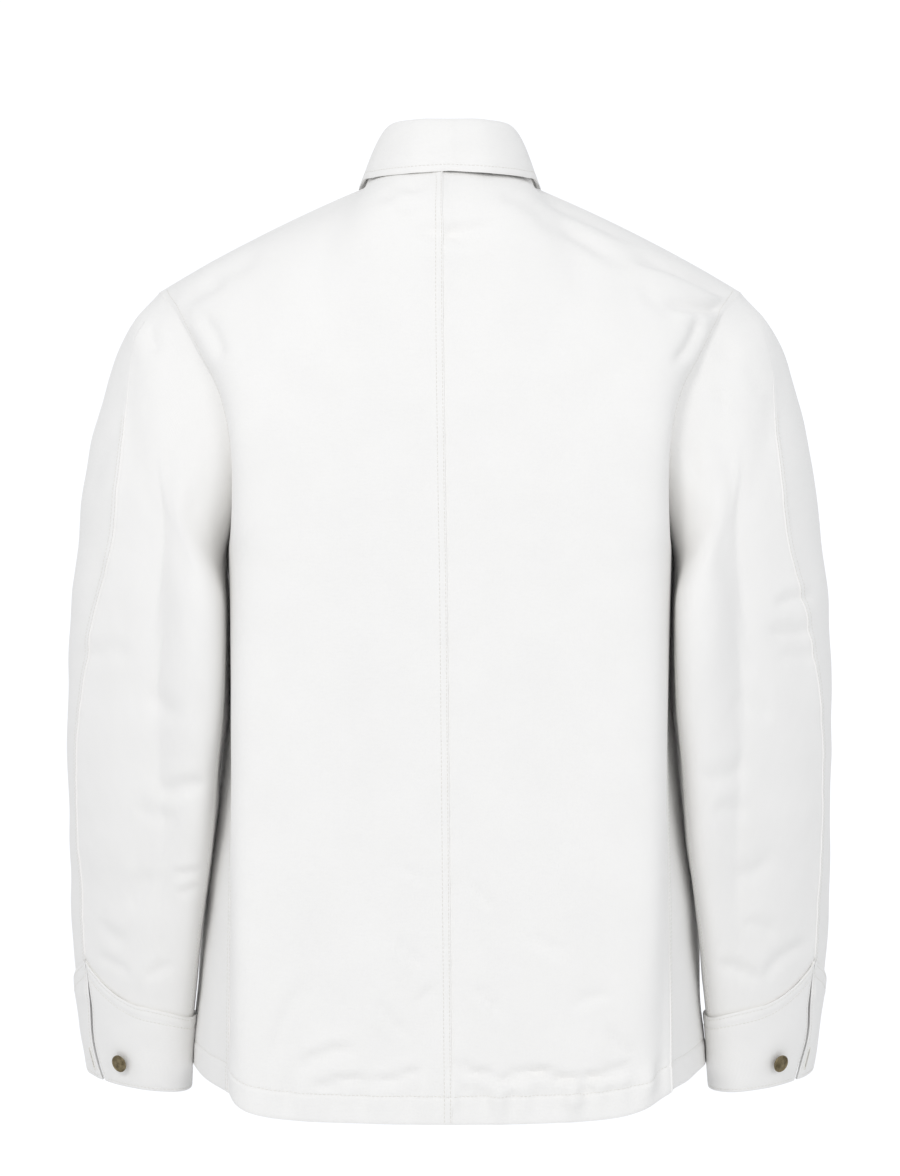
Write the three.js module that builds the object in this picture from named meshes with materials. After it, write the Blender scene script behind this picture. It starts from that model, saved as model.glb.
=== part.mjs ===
import * as THREE from "three";

// Chore jacket in cotton canvas, filled out as it is when worn, with open neck, hem and cuffs.
// Millimetres. +Z is up, the front faces -Y and the wearer's left is +X.
// The origin is the middle of the neck opening, level with the tops of the shoulder seams.

// Cloth and seams
const clothThickness = 2;
const cuffThickness = 2.4;
const pocketThickness = 1.6;
const collarThickness = 2.2;
const seamGap = 0.3;

// Shoulder seam, a ridge from the neck point to the top of the armhole, a little rounded upwards
const shoulderTip = { x: 242, y: -8, z: -84 };
const ridgeMiddle = { y: 5, z: 27 };
const ridgeCrown = 7.8;
const crownLevels = 0.25;
const neckPointX = 70;

// Front closing
const frontOverlap = 17;
const overlapEnd = 24;
const overlapFade = 16;
const overlapDepth = clothThickness + 2.2;

// Necklines: where each one crosses the centre line, and how far below it the cloth is drawn to it
const backNeck = { y: 70, z: 5 };
const frontNeck = { y: -64, z: -76 };
const backNeckLevel = 1.952;
const frontNeckLevel = 1.885;
const neckFade = 0.3;

// Grid of the body panels
const neckColumns = 5;
const shoulderColumns = 8;
const lowRows = 9;
const armholeRows = 12;

// Steps in which the length of a rib is measured
const evenSteps = 24;

// Two sheets whose normals agree less than this meet in a sharp crease
const sharpest = 0.3;

// Grid of the sleeves
const underColumns = 11;
const sleeveColumns = 2 * armholeRows;
const sleeveRows = 18;

// Rows where the long panels are cut across: the body under the arms and the sleeves at the elbow
const bodyCutRow = lowRows - 1;
const sleeveCutRow = 9;

// Cuffs: distances down the sleeve
const cuffTop = 615;
const cuffBottom = 684;
const cuffLap = 12;
const cuffRise = 25;
const cuffRiseColumns = 3;
const slitWidth = 3;

// The centre back seam leans a little across the back as it goes down
const backSeamTopX = 6;
const backSeamHemX = -1.5;

// The back swings a little to the wearer's left at the hem
const hemSwing = 6;

// Rows of a table as objects, from the names of its columns and the values of each row
function namedRows(columns, rows) {
  return rows.map((row) => Object.fromEntries(columns.map((name, index) => [name, row[index]])));
}

// Side seam, from the hem up to the underarm point
const sideSeam = [
  { along: 0, x: 175, y: 94, z: -730 },
  { along: 0.35, x: 175, y: 74, z: -590 },
  { along: 0.68, x: 176, y: 46, z: -448 },
  { along: 1, x: 183, y: 15, z: -296 },
];

// Armhole, from the underarm point up the back to the shoulder tip
const backArmhole = [
  { along: 0, x: 183, y: 15, z: -296 },
  { along: 0.14, x: 178, y: 42, z: -284 },
  { along: 0.28, x: 174, y: 64, z: -256 },
  { along: 0.42, x: 174, y: 80, z: -218 },
  { along: 0.56, x: 183, y: 81, z: -177 },
  { along: 0.7, x: 202, y: 70, z: -142 },
  { along: 0.84, x: 222, y: 46, z: -108 },
  { along: 0.93, x: 236, y: 16, z: -91 },
  { along: 1, x: shoulderTip.x, y: shoulderTip.y, z: shoulderTip.z },
];

// Armhole, from the underarm point up the front to the shoulder tip
const frontArmhole = [
  { along: 0, x: 183, y: 15, z: -296 },
  { along: 0.14, x: 182, y: -12, z: -288 },
  { along: 0.28, x: 178, y: -38, z: -264 },
  { along: 0.42, x: 176, y: -57, z: -228 },
  { along: 0.56, x: 182, y: -67, z: -187 },
  { along: 0.7, x: 198, y: -66, z: -150 },
  { along: 0.84, x: 220, y: -49, z: -113 },
  { along: 0.93, x: 233, y: -29, z: -94 },
  { along: 1, x: shoulderTip.x, y: shoulderTip.y, z: shoulderTip.z },
];

// Back panel ribs. Level 0 is the hem, 1 the underarm and 2 the shoulder ridge.
// Each rib runs from the centre, round the fold at the side of the back, to the side seam or armhole.
// foldRise and flankRise say how much of the rib's climb is done at its two corners.
const backRows = namedRows(
  ["level", "centreZ", "centreY", "foldX", "foldY", "flankX", "flankY", "foldRise", "flankRise", "crisp"],
  [
    [0, -750, 118, 148, 120, 160, 117, 0.03, 0.55, 1.6],
    [0.35, -600, 116, 155, 119, 170, 119, 0.1, 0.5, 1.8],
    [0.68, -455, 115, 160, 119, 173, 120, 0.2, 0.6, 1.9],
    [1, -326, 117, 160, 121, 174, 122, 0.33, 0.67, 1.8],
    [1.28, -262, 118, 158, 122, 175, 122, 0.33, 0.67, 1.6],
    [1.42, -222, 117, 155, 122, 176, 122, 0.33, 0.67, 1.5],
    [1.56, -182, 115, 150, 120, 180, 119, 0.33, 0.67, 1.3],
    [1.7, -138, 110, 142, 115, 190, 110, 0.33, 0.67, 1.1],
    [1.84, -82, 98, 130, 99, 204, 82, 0.33, 0.67, 1],
    [1.93, -18, 78, 105, 68, 190, 47, 0.33, 0.67, 1],
  ],
);

// Front panel ribs, from the front edge round to the side seam or armhole
const frontRows = namedRows(
  ["level", "centreZ", "centreY", "foldX", "foldY", "flankX", "flankY", "foldRise", "flankRise", "crisp"],
  [
    [0, -742, -135, 150, -136, 268, -116, 0.33, 0.67, 1.7],
    [0.35, -600, -134, 150, -135, 256, -124, 0.33, 0.67, 1.7],
    [0.68, -455, -132, 146, -133, 221, -118, 0.33, 0.67, 1.7],
    [1, -322, -129, 142, -130, 181, -80, 0.33, 0.67, 1.6],
    [1.28, -258, -124, 138, -125, 180, -100, 0.33, 0.67, 1.3],
    [1.42, -216, -118, 134, -119, 180, -102, 0.33, 0.67, 1.2],
    [1.56, -176, -110, 130, -111, 184, -98, 0.33, 0.67, 1.1],
    [1.7, -136, -98, 126, -99, 192, -86, 0.33, 0.67, 1],
    [1.84, -96, -79, 116, -79, 202, -64, 0.33, 0.67, 1],
    [1.93, -46, -52, 98, -50, 182, -38, 0.33, 0.67, 1],
  ],
);

// The sleeve is pressed flat beside the body, so its back is squarer on the inner side
const innerSquareness = 0.9;

// Rings down the left sleeve. The outer and inner points are the ends of each ring across the sleeve,
// deep is half its depth, skew turns its broad face, fill rounds out its back towards the body, and
// the two angles place the seams on it.
const sleeveRings = namedRows(
  ["down", "outerX", "outerZ", "innerX", "innerZ", "middleY", "deep", "skew", "fill", "elbow", "inner"],
  [
    [46, 266, -116, 187, -322, 3, 77, -0.1, 0.4, 36, 172],
    [108, 290, -178, 184, -352, 5, 75, -0.15, 0.75, 54, 171],
    [184, 305, -250, 183, -388, 6, 72, -0.2, 0.8, 56, 170],
    [274, 316, -345, 184, -430, 4, 67, -0.28, 0.75, 45, 169],
    [369, 321, -438, 188, -480, -2, 63, -0.35, 0.65, 36, 168],
    [459, 322, -527, 194, -540, -12, 59, -0.42, 0.5, 33, 168],
    [535, 323, -602, 205, -612, -28, 55, -0.48, 0.3, 36, 168],
    [600, 321, -666, 213, -674, -42, 51, -0.52, 0.1, 36, 168],
    [644, 317, -709, 218, -715, -51, 48, -0.54, 0, 33, 168],
    [684, 312, -747, 221, -753, -59, 46, -0.55, 0, 33, 168],
  ],
);

// Fold line at the top of the collar stand, from the centre back to the front end
const collarFold = [
  { along: 0, x: 0, y: 61, z: 42 },
  { along: 0.2, x: 28, y: 54, z: 43 },
  { along: 0.4, x: 50, y: 27, z: 42 },
  { along: 0.6, x: 53, y: -10, z: 23 },
  { along: 0.8, x: 35, y: -42, z: -13 },
  { along: 1, x: 1.5, y: -58, z: -44 },
];

// Outer edge of the collar fall, from the centre back to the point of the collar
const collarEdge = [
  { along: 0, x: 0, y: 80, z: 2 },
  { along: 0.2, x: 34, y: 73, z: 1 },
  { along: 0.4, x: 65, y: 41, z: 3 },
  { along: 0.55, x: 74, y: 3, z: 5 },
  { along: 0.7, x: 81, y: -36, z: -14 },
  { along: 0.85, x: 77, y: -70, z: -50 },
  { along: 1, x: 62, y: -100, z: -112 },
];
const collarRoll = 9;
const collarLift = 4.4;
const collarRows = 5;
const standRows = 2;

// Patch pockets, each over a run of the front panel's own columns and rows
const pockets = [
  { name: "pocket_hip_left", side: 1, firstColumn: 3, lastColumn: 10, firstRow: 1, lastRow: 5 },
  { name: "pocket_hip_right", side: -1, firstColumn: 3, lastColumn: 10, firstRow: 1, lastRow: 5 },
  { name: "pocket_chest_left", side: 1, firstColumn: 2, lastColumn: 6, firstRow: 8, lastRow: 12 },
];

// Shank buttons
const frontButtonRadius = 8.5;
const cuffButtonRadius = 7.4;
const buttonRise = 5;
const buttonSides = 12;
const frontButtonCount = 5;
const topButtonLevel = 1.83;
const buttonPitchLevel = 0.36;
const cuffButtonColumn = 2;
const cuffButtonShare = 0.2;

const canvasColour = "#f2f2ef";
const brassColour = "#85795a";

// Reads a table at one value of its key column, with a smooth curve through every other column.
function slopeAt(rows, key, name, index) {
  const before = rows[Math.max(index - 1, 0)];
  const after = rows[Math.min(index + 1, rows.length - 1)];
  return (after[name] - before[name]) / (after[key] - before[key]);
}

function rowAt(rows, key, value) {
  let index = 0;
  while (index < rows.length - 2 && value > rows[index + 1][key]) index += 1;
  const from = rows[index];
  const to = rows[index + 1];
  const span = to[key] - from[key];
  const t = (value - from[key]) / span;
  const result = {};
  for (const name of Object.keys(from)) {
    const leave = slopeAt(rows, key, name, index) * span;
    const arrive = slopeAt(rows, key, name, index + 1) * span;
    const bend = from[name] * 2 - to[name] * 2 + leave + arrive;
    const sweep = to[name] * 3 - from[name] * 3 - leave * 2 - arrive;
    result[name] = ((bend * t + sweep) * t + leave) * t + from[name];
  }
  return result;
}

function pointOf(row) {
  return new THREE.Vector3(row.x, row.y, row.z);
}

// Point of the straight shoulder ridge, carried on across the neck
function ridgePoint(x) {
  const share = x / shoulderTip.x;
  const y = ridgeMiddle.y + (shoulderTip.y - ridgeMiddle.y) * share;
  const z = ridgeMiddle.z + (shoulderTip.z - ridgeMiddle.z) * share;
  return new THREE.Vector3(x, y, z);
}

function withRidge(rows, startX) {
  const start = ridgePoint(startX);
  const third = ridgePoint(startX + (shoulderTip.x - startX) / 3);
  const twoThirds = ridgePoint(startX + (2 * (shoulderTip.x - startX)) / 3);
  const ridge = {
    level: 2,
    centreZ: start.z,
    centreY: start.y,
    foldX: third.x,
    foldY: third.y,
    flankX: twoThirds.x,
    flankY: twoThirds.y,
    foldRise: 1 / 3,
    flankRise: 2 / 3,
    crisp: 1,
  };
  return [...rows, ridge];
}

// A body panel: its ribs, its armhole, where its ribs start, where its neckline begins and its swing
const backPanel = {
  rows: withRidge(backRows, 0),
  armhole: backArmhole,
  startX: 0,
  neck: backNeck,
  neckLevel: backNeckLevel,
  swing: hemSwing,
};
const frontPanel = {
  rows: withRidge(frontRows, -frontOverlap),
  armhole: frontArmhole,
  startX: -frontOverlap,
  neck: frontNeck,
  neckLevel: frontNeckLevel,
  swing: 0,
};

function panelEdge(panel, level) {
  if (level <= 1) return pointOf(rowAt(sideSeam, "along", level));
  return pointOf(rowAt(panel.armhole, "along", level - 1));
}

// Point of one rib at a parameter from 0 at the centre to 1 at the outer edge
function ribPoint(panel, level, side, t) {
  const row = rowAt(panel.rows, "level", level);
  const swing = panel.swing * side * Math.max(0, 1 - level);
  const edge = panelEdge(panel, level);
  const rise = edge.z - row.centreZ;
  const corners = [
    new THREE.Vector3(panel.startX, row.centreY, row.centreZ),
    new THREE.Vector3(row.foldX + swing, row.foldY, row.centreZ + rise * row.foldRise),
    new THREE.Vector3(row.flankX + swing, row.flankY, row.centreZ + rise * row.flankRise),
    edge,
  ];
  const u = 1 - t;
  const weights = [u * u * u, 3 * u * u * t * row.crisp, 3 * u * t * t * row.crisp, t * t * t];
  const total = weights.reduce((sum, weight) => sum + weight, 0);
  const point = new THREE.Vector3();
  corners.forEach((corner, index) => point.addScaledVector(corner, weights[index] / total));
  const out = point.x / edge.x;
  const crown = ridgeCrown * 4 * out * (1 - out) * smooth((level - 2 + crownLevels) / crownLevels);
  point.z += crown;
  return point;
}

function smooth(value) {
  const t = Math.min(1, Math.max(0, value));
  return t * t * (3 - 2 * t);
}

// The point at a share of the length of a line of points
function alongPoints(points, share) {
  const lengths = [0];
  for (let index = 1; index < points.length; index += 1) {
    lengths.push(lengths[index - 1] + points[index].distanceTo(points[index - 1]));
  }
  const wanted = share * lengths[lengths.length - 1];
  let index = 1;
  while (index < points.length - 1 && lengths[index] < wanted) index += 1;
  const t = (wanted - lengths[index - 1]) / (lengths[index] - lengths[index - 1]);
  return points[index - 1].clone().lerp(points[index], t);
}

// Columns below the neck are evenly spaced along the rib, the others follow its parameter
function ribShare(panel, level, side, share, neckShare) {
  if (share >= neckShare) return ribPoint(panel, level, side, share);
  const points = [];
  for (let step = 0; step <= evenSteps; step += 1) {
    points.push(ribPoint(panel, level, side, (neckShare * step) / evenSteps));
  }
  return alongPoints(points, share / neckShare);
}

// Shares of a rib where the columns stand: the overlap, then the neck, then the shoulder
function panelColumns(panel) {
  const width = shoulderTip.x - panel.startX;
  const centreShare = -panel.startX / width;
  const neckShare = (neckPointX - panel.startX) / width;
  const columns = [];
  if (centreShare > 0) columns.push(0);
  for (let column = 0; column <= neckColumns; column += 1) {
    const turn = Math.sin((Math.PI / 2) * (column / neckColumns));
    columns.push(centreShare + (neckShare - centreShare) * turn);
  }
  for (let column = 1; column <= shoulderColumns; column += 1) {
    columns.push(neckShare + ((1 - neckShare) * column) / shoulderColumns);
  }
  return { shares: columns, centreShare, neckShare };
}

// The highest level of a column: the neckline is a quarter of an ellipse, the rest is the ridge
function topLevel(panel, share, layout) {
  if (share >= layout.neckShare) return 2;
  const width = layout.neckShare - layout.centreShare;
  const across = Math.max(0, (share - layout.centreShare) / width);
  return panel.neckLevel + (2 - panel.neckLevel) * (1 - Math.sqrt(1 - across * across));
}

// Point of the neckline above a share of the ribs
function neckTarget(panel, share, layout) {
  const neck = ridgePoint(neckPointX);
  neck.z += ridgeCrown * 4 * (neckPointX / shoulderTip.x) * (1 - neckPointX / shoulderTip.x);
  const across = (share - layout.centreShare) / (layout.neckShare - layout.centreShare);
  const rise = Math.sqrt(1 - Math.max(0, across) ** 2);
  const y = neck.y + (panel.neck.y - neck.y) * rise;
  const z = neck.z + (panel.neck.z - neck.z) * rise;
  return new THREE.Vector3(neckPointX * across, y, z);
}

function panelPoint(panel, share, level, side) {
  const layout = panelColumns(panel);
  const point = ribShare(panel, level, side, share, layout.neckShare);
  if (share < layout.neckShare) {
    const top = topLevel(panel, share, layout);
    const drawn = smooth((level - top + neckFade) / neckFade);
    const onTop = ribShare(panel, top, side, share, layout.neckShare);
    const pull = neckTarget(panel, share, layout).sub(onTop);
    point.addScaledVector(pull, drawn);
  }
  if (panel === backPanel) {
    const seamX = backSeamHemX + ((backSeamTopX - backSeamHemX) * Math.min(level, 1.9)) / 1.9;
    point.x += seamX * side * Math.max(0, 1 - share / layout.neckShare);
  }
  return point;
}

// Grid of a body panel for the left half (side 1) or the right half (side -1)
function panelGrid(panel, side) {
  const layout = panelColumns(panel);
  const grid = [];
  for (let row = 0; row <= lowRows + armholeRows; row += 1) {
    const line = layout.shares.map((share) => {
      const top = topLevel(panel, share, layout);
      const low = Math.min(row, lowRows) / lowRows;
      const high = Math.max(row - lowRows, 0) / armholeRows;
      const level = low + (top - 1) * high;
      const point = panelPoint(panel, share, level, side);
      point.x *= side;
      return point;
    });
    grid.push(line);
  }
  return grid;
}

// Sleeve: the ring through the armhole, then the rings of the table
function armholePoint(column) {
  if (column <= armholeRows) return pointOf(rowAt(backArmhole, "along", column / armholeRows));
  return pointOf(rowAt(frontArmhole, "along", (sleeveColumns - column) / armholeRows));
}

function ringPoint(ring, column) {
  const overColumns = sleeveColumns - underColumns;
  const under = ring.inner + ((ring.elbow - ring.inner) * column) / underColumns;
  const over = ring.elbow + ((ring.inner - 360 - ring.elbow) * (column - underColumns)) / overColumns;
  const angle = THREE.MathUtils.degToRad(column <= underColumns ? under : over);
  const cos = Math.cos(angle);
  const sin = Math.sin(angle);
  const size = Math.sqrt(1 + 2 * ring.skew * sin * cos);
  const across = (cos + ring.skew * sin) / size;
  const filled = 1 + ring.fill * Math.max(0, sin) * Math.max(0, -cos);
  const rise = sin > 0 && cos < 0 ? sin ** (1 + innerSquareness * ring.fill * cos) : sin;
  const depth = ((rise + ring.skew * cos) / size) * filled;
  return {
    down: ring.down,
    x: (ring.outerX + ring.innerX) / 2 + ((ring.outerX - ring.innerX) / 2) * across,
    y: ring.middleY + ring.deep * depth,
    z: (ring.outerZ + ring.innerZ) / 2 + ((ring.outerZ - ring.innerZ) / 2) * across,
  };
}

function sleevePoint(column, down) {
  const start = armholePoint(column);
  const rows = [{ down: 0, x: start.x, y: start.y, z: start.z }];
  sleeveRings.forEach((ring) => rows.push(ringPoint(ring, column)));
  return pointOf(rowAt(rows, "down", down));
}

// Top of the cuff in one column: it rises towards the slit at the elbow seam
function cuffTopAt(column) {
  const steps = Math.abs(column - underColumns);
  const away = Math.min(steps, sleeveColumns - steps);
  const near = Math.max(0, 1 - away / cuffRiseColumns);
  return cuffTop - cuffRise * near * near;
}

function sleeveGrid(side) {
  const grid = [];
  for (let row = 0; row <= sleeveRows; row += 1) {
    const line = [];
    for (let column = 0; column <= sleeveColumns; column += 1) {
      const end = cuffTopAt(column) + cuffLap;
      const point = sleevePoint(column, (end * row) / sleeveRows);
      point.x *= side;
      line.push(point);
    }
    grid.push(line);
  }
  return grid;
}

// Cuff: the sleeve's own surface from the slit all the way round, moved out over the sleeve's end
function cuffGrid(side) {
  const order = [];
  for (let step = 0; step <= sleeveColumns; step += 1) {
    order.push((underColumns + step) % sleeveColumns);
  }
  const grid = [0, 1, 2, 3].map((row) =>
    order.map((column) => {
      const top = cuffTopAt(column);
      const lap = top + cuffLap;
      const down = row === 0 ? top : lap + ((cuffBottom - lap) * (row - 1)) / 2;
      const point = sleevePoint(column, down);
      point.x *= side;
      return point;
    }),
  );
  grid.forEach((line) => {
    const last = line.length - 1;
    const half = slitWidth / 2;
    const first = line[1].clone().sub(line[0]).setLength(half);
    const final = line[last - 1].clone().sub(line[last]).setLength(half);
    line[0].add(first);
    line[last].add(final);
  });
  return grid;
}

// Surface normals of a grid. The flag turned says that rows and columns run the other way round.
function gridNormals(grid, turned) {
  return grid.map((line, row) =>
    line.map((point, column) => {
      const up = grid[Math.min(row + 1, grid.length - 1)][column];
      const down = grid[Math.max(row - 1, 0)][column];
      const right = line[Math.min(column + 1, line.length - 1)];
      const left = line[Math.max(column - 1, 0)];
      const across = right.clone().sub(left);
      const along = up.clone().sub(down);
      const normal = turned ? along.cross(across) : across.cross(along);
      return normal.normalize();
    }),
  );
}

function movedOut(grid, turned, distance) {
  const normals = gridNormals(grid, turned);
  return grid.map((line, row) =>
    line.map((point, column) => point.clone().addScaledVector(normals[row][column], distance)),
  );
}

// The right front passes inside the left front, with a soft step beside it
function passInside(grid) {
  const normals = gridNormals(grid, true);
  return grid.map((line, row) =>
    line.map((point, column) => {
      const beyond = Math.max(0, -point.x - overlapEnd) / overlapFade;
      const share = Math.max(0, 1 - beyond);
      return point.clone().addScaledVector(normals[row][column], -overlapDepth * share);
    }),
  );
}

// Neckline of one half, from the centre back over the neck point to the centre front
function necklinePoints(backGrid, frontGrid) {
  const backTop = backGrid[backGrid.length - 1];
  const frontTop = frontGrid[frontGrid.length - 1];
  const points = [];
  for (let column = 0; column <= neckColumns; column += 1) points.push(backTop[column].clone());
  for (let column = neckColumns; column >= 1; column -= 1) points.push(frontTop[column].clone());
  return points;
}

// Both halves of a collar line, from the wearer's left front end round the back to the right one
function bothHalves(half) {
  const left = half(1);
  const right = half(-1);
  return [...left.reverse(), ...right.slice(1)];
}

function collarShare(index) {
  return index / (2 * neckColumns);
}

function collarLine(table) {
  return bothHalves((side) => {
    const line = [];
    for (let index = 0; index <= 2 * neckColumns; index += 1) {
      const point = pointOf(rowAt(table, "along", collarShare(index)));
      point.x *= side;
      line.push(point);
    }
    return line;
  });
}

function standGrid(neckline, foldLine) {
  const grid = [];
  for (let row = 0; row <= standRows; row += 1) {
    grid.push(neckline.map((point, index) => point.clone().lerp(foldLine[index], row / standRows)));
  }
  return grid;
}

// The fall rolls over the top of the stand and comes down outside it
function fallGrid(foldLine, edgeLine) {
  const grid = [];
  for (let row = 0; row <= collarRows; row += 1) {
    const t = row / collarRows;
    grid.push(
      foldLine.map((fold, index) => {
        const edge = edgeLine[index];
        const outward = new THREE.Vector3(edge.x - fold.x, edge.y - fold.y, 0).setLength(collarRoll);
        const start = fold.clone().setZ(fold.z + collarLift);
        const roll = start.clone().add(outward).setZ(start.z + 1);
        const first = start.multiplyScalar((1 - t) * (1 - t));
        const second = roll.multiplyScalar(2 * t * (1 - t));
        return first.add(second).addScaledVector(edge, t * t);
      }),
    );
  }
  return grid;
}

// Sheets waiting to become walls
const sheets = [];

function addSheet(name, grid, turned, thickness) {
  sheets.push({ name, grid, turned, thickness });
}

function keyOf(point) {
  return [point.x, point.y, point.z].map((value) => Math.round(value * 20)).join(",");
}

// Direction from an edge point into its own sheet, along the surface
function inwardDirection(grid, row, column) {
  const point = grid[row][column];
  const lastRow = grid.length - 1;
  const lastColumn = grid[0].length - 1;
  const direction = new THREE.Vector3();
  if (row === 0) direction.add(grid[1][column].clone().sub(point).normalize());
  if (row === lastRow) direction.add(grid[lastRow - 1][column].clone().sub(point).normalize());
  if (column === 0) direction.add(grid[row][1].clone().sub(point).normalize());
  if (column === lastColumn) direction.add(grid[row][lastColumn - 1].clone().sub(point).normalize());
  return direction.normalize();
}

// Every edge point with the sheets that meet there, so that their walls end mitred and just apart
function meetingPoints() {
  const meeting = new Map();
  sheets.forEach((sheet) => {
    sheet.normals = gridNormals(sheet.grid, sheet.turned);
    sheet.grid.forEach((line, row) =>
      line.forEach((point, column) => {
        const onEnd = row === 0 || row === sheet.grid.length - 1;
        const onSide = column === 0 || column === line.length - 1;
        if (!onEnd && !onSide) return;
        const key = keyOf(point);
        if (!meeting.has(key)) meeting.set(key, []);
        const inward = inwardDirection(sheet.grid, row, column);
        meeting.get(key).push({ sheet, normal: sheet.normals[row][column], inward });
      }),
    );
  });
  return meeting;
}

function othersAt(meeting, sheet, point) {
  const entries = meeting.get(keyOf(point)) || [];
  return entries.filter((entry) => entry.sheet !== sheet);
}

// Inner point of a wall: mitred where sheets meet, but square to the cloth inside a sharp hollow
function innerOffset(sheet, row, column, others) {
  const own = sheet.normals[row][column];
  const inward = inwardDirection(sheet.grid, row, column);
  const hollow = others.some((other) => {
    const opening = other.inward.dot(own) + inward.dot(other.normal);
    return opening > 0 && other.normal.dot(own) < sharpest;
  });
  if (others.length === 0 || hollow) return own.clone().multiplyScalar(-sheet.thickness);
  const shared = own.clone();
  others.forEach((other) => shared.add(other.normal));
  shared.normalize();
  const mitre = Math.max(0.6, shared.dot(own));
  return shared.multiplyScalar(-sheet.thickness / mitre);
}

function seamShift(sheet, row, column, others) {
  const inward = inwardDirection(sheet.grid, row, column);
  if (others.length === 0) return new THREE.Vector3();
  const shift = inward.clone();
  others.forEach((other) => shift.addScaledVector(other.inward, -1 / others.length));
  return shift.setLength(seamGap * 0.6);
}

function wallGeometry(sheet, meeting) {
  const rowCount = sheet.grid.length;
  const columnCount = sheet.grid[0].length;
  const outer = [];
  const inner = [];
  const shifts = [];
  sheet.grid.forEach((line, row) =>
    line.forEach((point, column) => {
      const others = othersAt(meeting, sheet, point);
      outer.push(point);
      inner.push(point.clone().add(innerOffset(sheet, row, column, others)));
      shifts.push(seamShift(sheet, row, column, others));
    }),
  );
  const corners = [...outer, ...inner];
  const vertices = corners.map((corner, index) => corner.clone().add(shifts[index % outer.length]));
  const positions = vertices.flatMap((point) => [point.x, point.y, point.z]);
  const indices = [];
  const outerAt = (row, column) => row * columnCount + column;
  const quad = (a, b, c, d) => {
    if (sheet.turned) indices.push(a, c, b, a, d, c);
    else indices.push(a, b, c, a, c, d);
  };
  // A rim takes the shorter diagonal, so that two rims that face each other bend alike
  const rim = (outerFrom, outerTo) => {
    const innerFrom = outerFrom + outer.length;
    const innerTo = outerTo + outer.length;
    const points = [outerFrom, outerTo, innerTo, innerFrom].map((index) => corners[index]);
    const shorter = points[0].distanceTo(points[2]) <= points[1].distanceTo(points[3]);
    if (shorter) quad(outerFrom, outerTo, innerTo, innerFrom);
    else quad(outerTo, innerTo, innerFrom, outerFrom);
  };
  const lastRow = rowCount - 1;
  const lastColumn = columnCount - 1;
  for (let row = 0; row < lastRow; row += 1) {
    for (let column = 0; column < lastColumn; column += 1) {
      const [a, b] = [outerAt(row, column), outerAt(row, column + 1)];
      const [c, d] = [outerAt(row + 1, column + 1), outerAt(row + 1, column)];
      const inside = outer.length;
      quad(a, b, c, d);
      quad(a + inside, d + inside, c + inside, b + inside);
    }
  }
  for (let row = 0; row < lastRow; row += 1) {
    rim(outerAt(row, 0), outerAt(row + 1, 0));
    rim(outerAt(row + 1, lastColumn), outerAt(row, lastColumn));
  }
  for (let column = 0; column < lastColumn; column += 1) {
    rim(outerAt(0, column + 1), outerAt(0, column));
    rim(outerAt(lastRow, column), outerAt(lastRow, column + 1));
  }
  const geometry = new THREE.BufferGeometry();
  geometry.setAttribute("position", new THREE.Float32BufferAttribute(positions, 3));
  geometry.setIndex(indices);
  geometry.computeVertexNormals();
  return geometry;
}

// Shank button: a thin domed disc with a raised rim on a short shank
function buttonGeometry(radius) {
  const shankRadius = radius * 0.3;
  const rim = radius * 0.84;
  const profile = [
    new THREE.Vector2(0, 0),
    new THREE.Vector2(shankRadius, 0),
    new THREE.Vector2(shankRadius, buttonRise - 2),
    new THREE.Vector2(radius * 0.92, buttonRise - 1.6),
    new THREE.Vector2(radius, buttonRise - 0.6),
    new THREE.Vector2(rim, buttonRise),
    new THREE.Vector2(rim * 0.9, buttonRise - 0.5),
    new THREE.Vector2(0, buttonRise + 0.2),
  ];
  return new THREE.LatheGeometry(profile, buttonSides);
}

const jacket = new THREE.Group();
const canvas = new THREE.MeshStandardMaterial({ color: canvasColour, roughness: 0.92, metalness: 0 });
const brass = new THREE.MeshStandardMaterial({ color: brassColour, roughness: 0.45, metalness: 0.85 });

function addMesh(name, geometry, material) {
  const mesh = new THREE.Mesh(geometry, material);
  mesh.name = name;
  jacket.add(mesh);
  return mesh;
}

// Seats a button on the cloth at a point, with its shank along the normal
function addButton(name, radius, point, normal) {
  const button = addMesh(name, buttonGeometry(radius), brass);
  button.quaternion.setFromUnitVectors(new THREE.Vector3(0, 1, 0), normal);
  button.position.copy(point).addScaledVector(normal, seamGap * 2);
}

function cutOut(grid, rows, columns) {
  return grid.slice(rows[0], rows[1] + 1).map((line) => line.slice(columns[0], columns[1] + 1));
}

function nameOfSide(side) {
  return side === 1 ? "left" : "right";
}

// A long panel as two solids, cut across at one row, so that each bends round less of the hollow
function addPanel(name, grid, cutRow, ends, turned) {
  const columns = [0, grid[0].length - 1];
  const first = cutOut(grid, [0, cutRow], columns);
  const second = cutOut(grid, [cutRow, grid.length - 1], columns);
  addSheet(`${name}_${ends[0]}`, first, turned, clothThickness);
  addSheet(`${name}_${ends[1]}`, second, turned, clothThickness);
}

// Body panels
const backGrids = new Map();
const frontGrids = new Map();
[1, -1].forEach((side) => {
  backGrids.set(side, panelGrid(backPanel, side));
  const front = panelGrid(frontPanel, side);
  frontGrids.set(side, front);
  const ends = ["low", "high"];
  const laid = side === 1 ? front : passInside(front);
  addPanel(`back_${nameOfSide(side)}`, backGrids.get(side), bodyCutRow, ends, side === 1);
  addPanel(`front_${nameOfSide(side)}`, laid, bodyCutRow, ends, side === -1);
});

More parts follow.
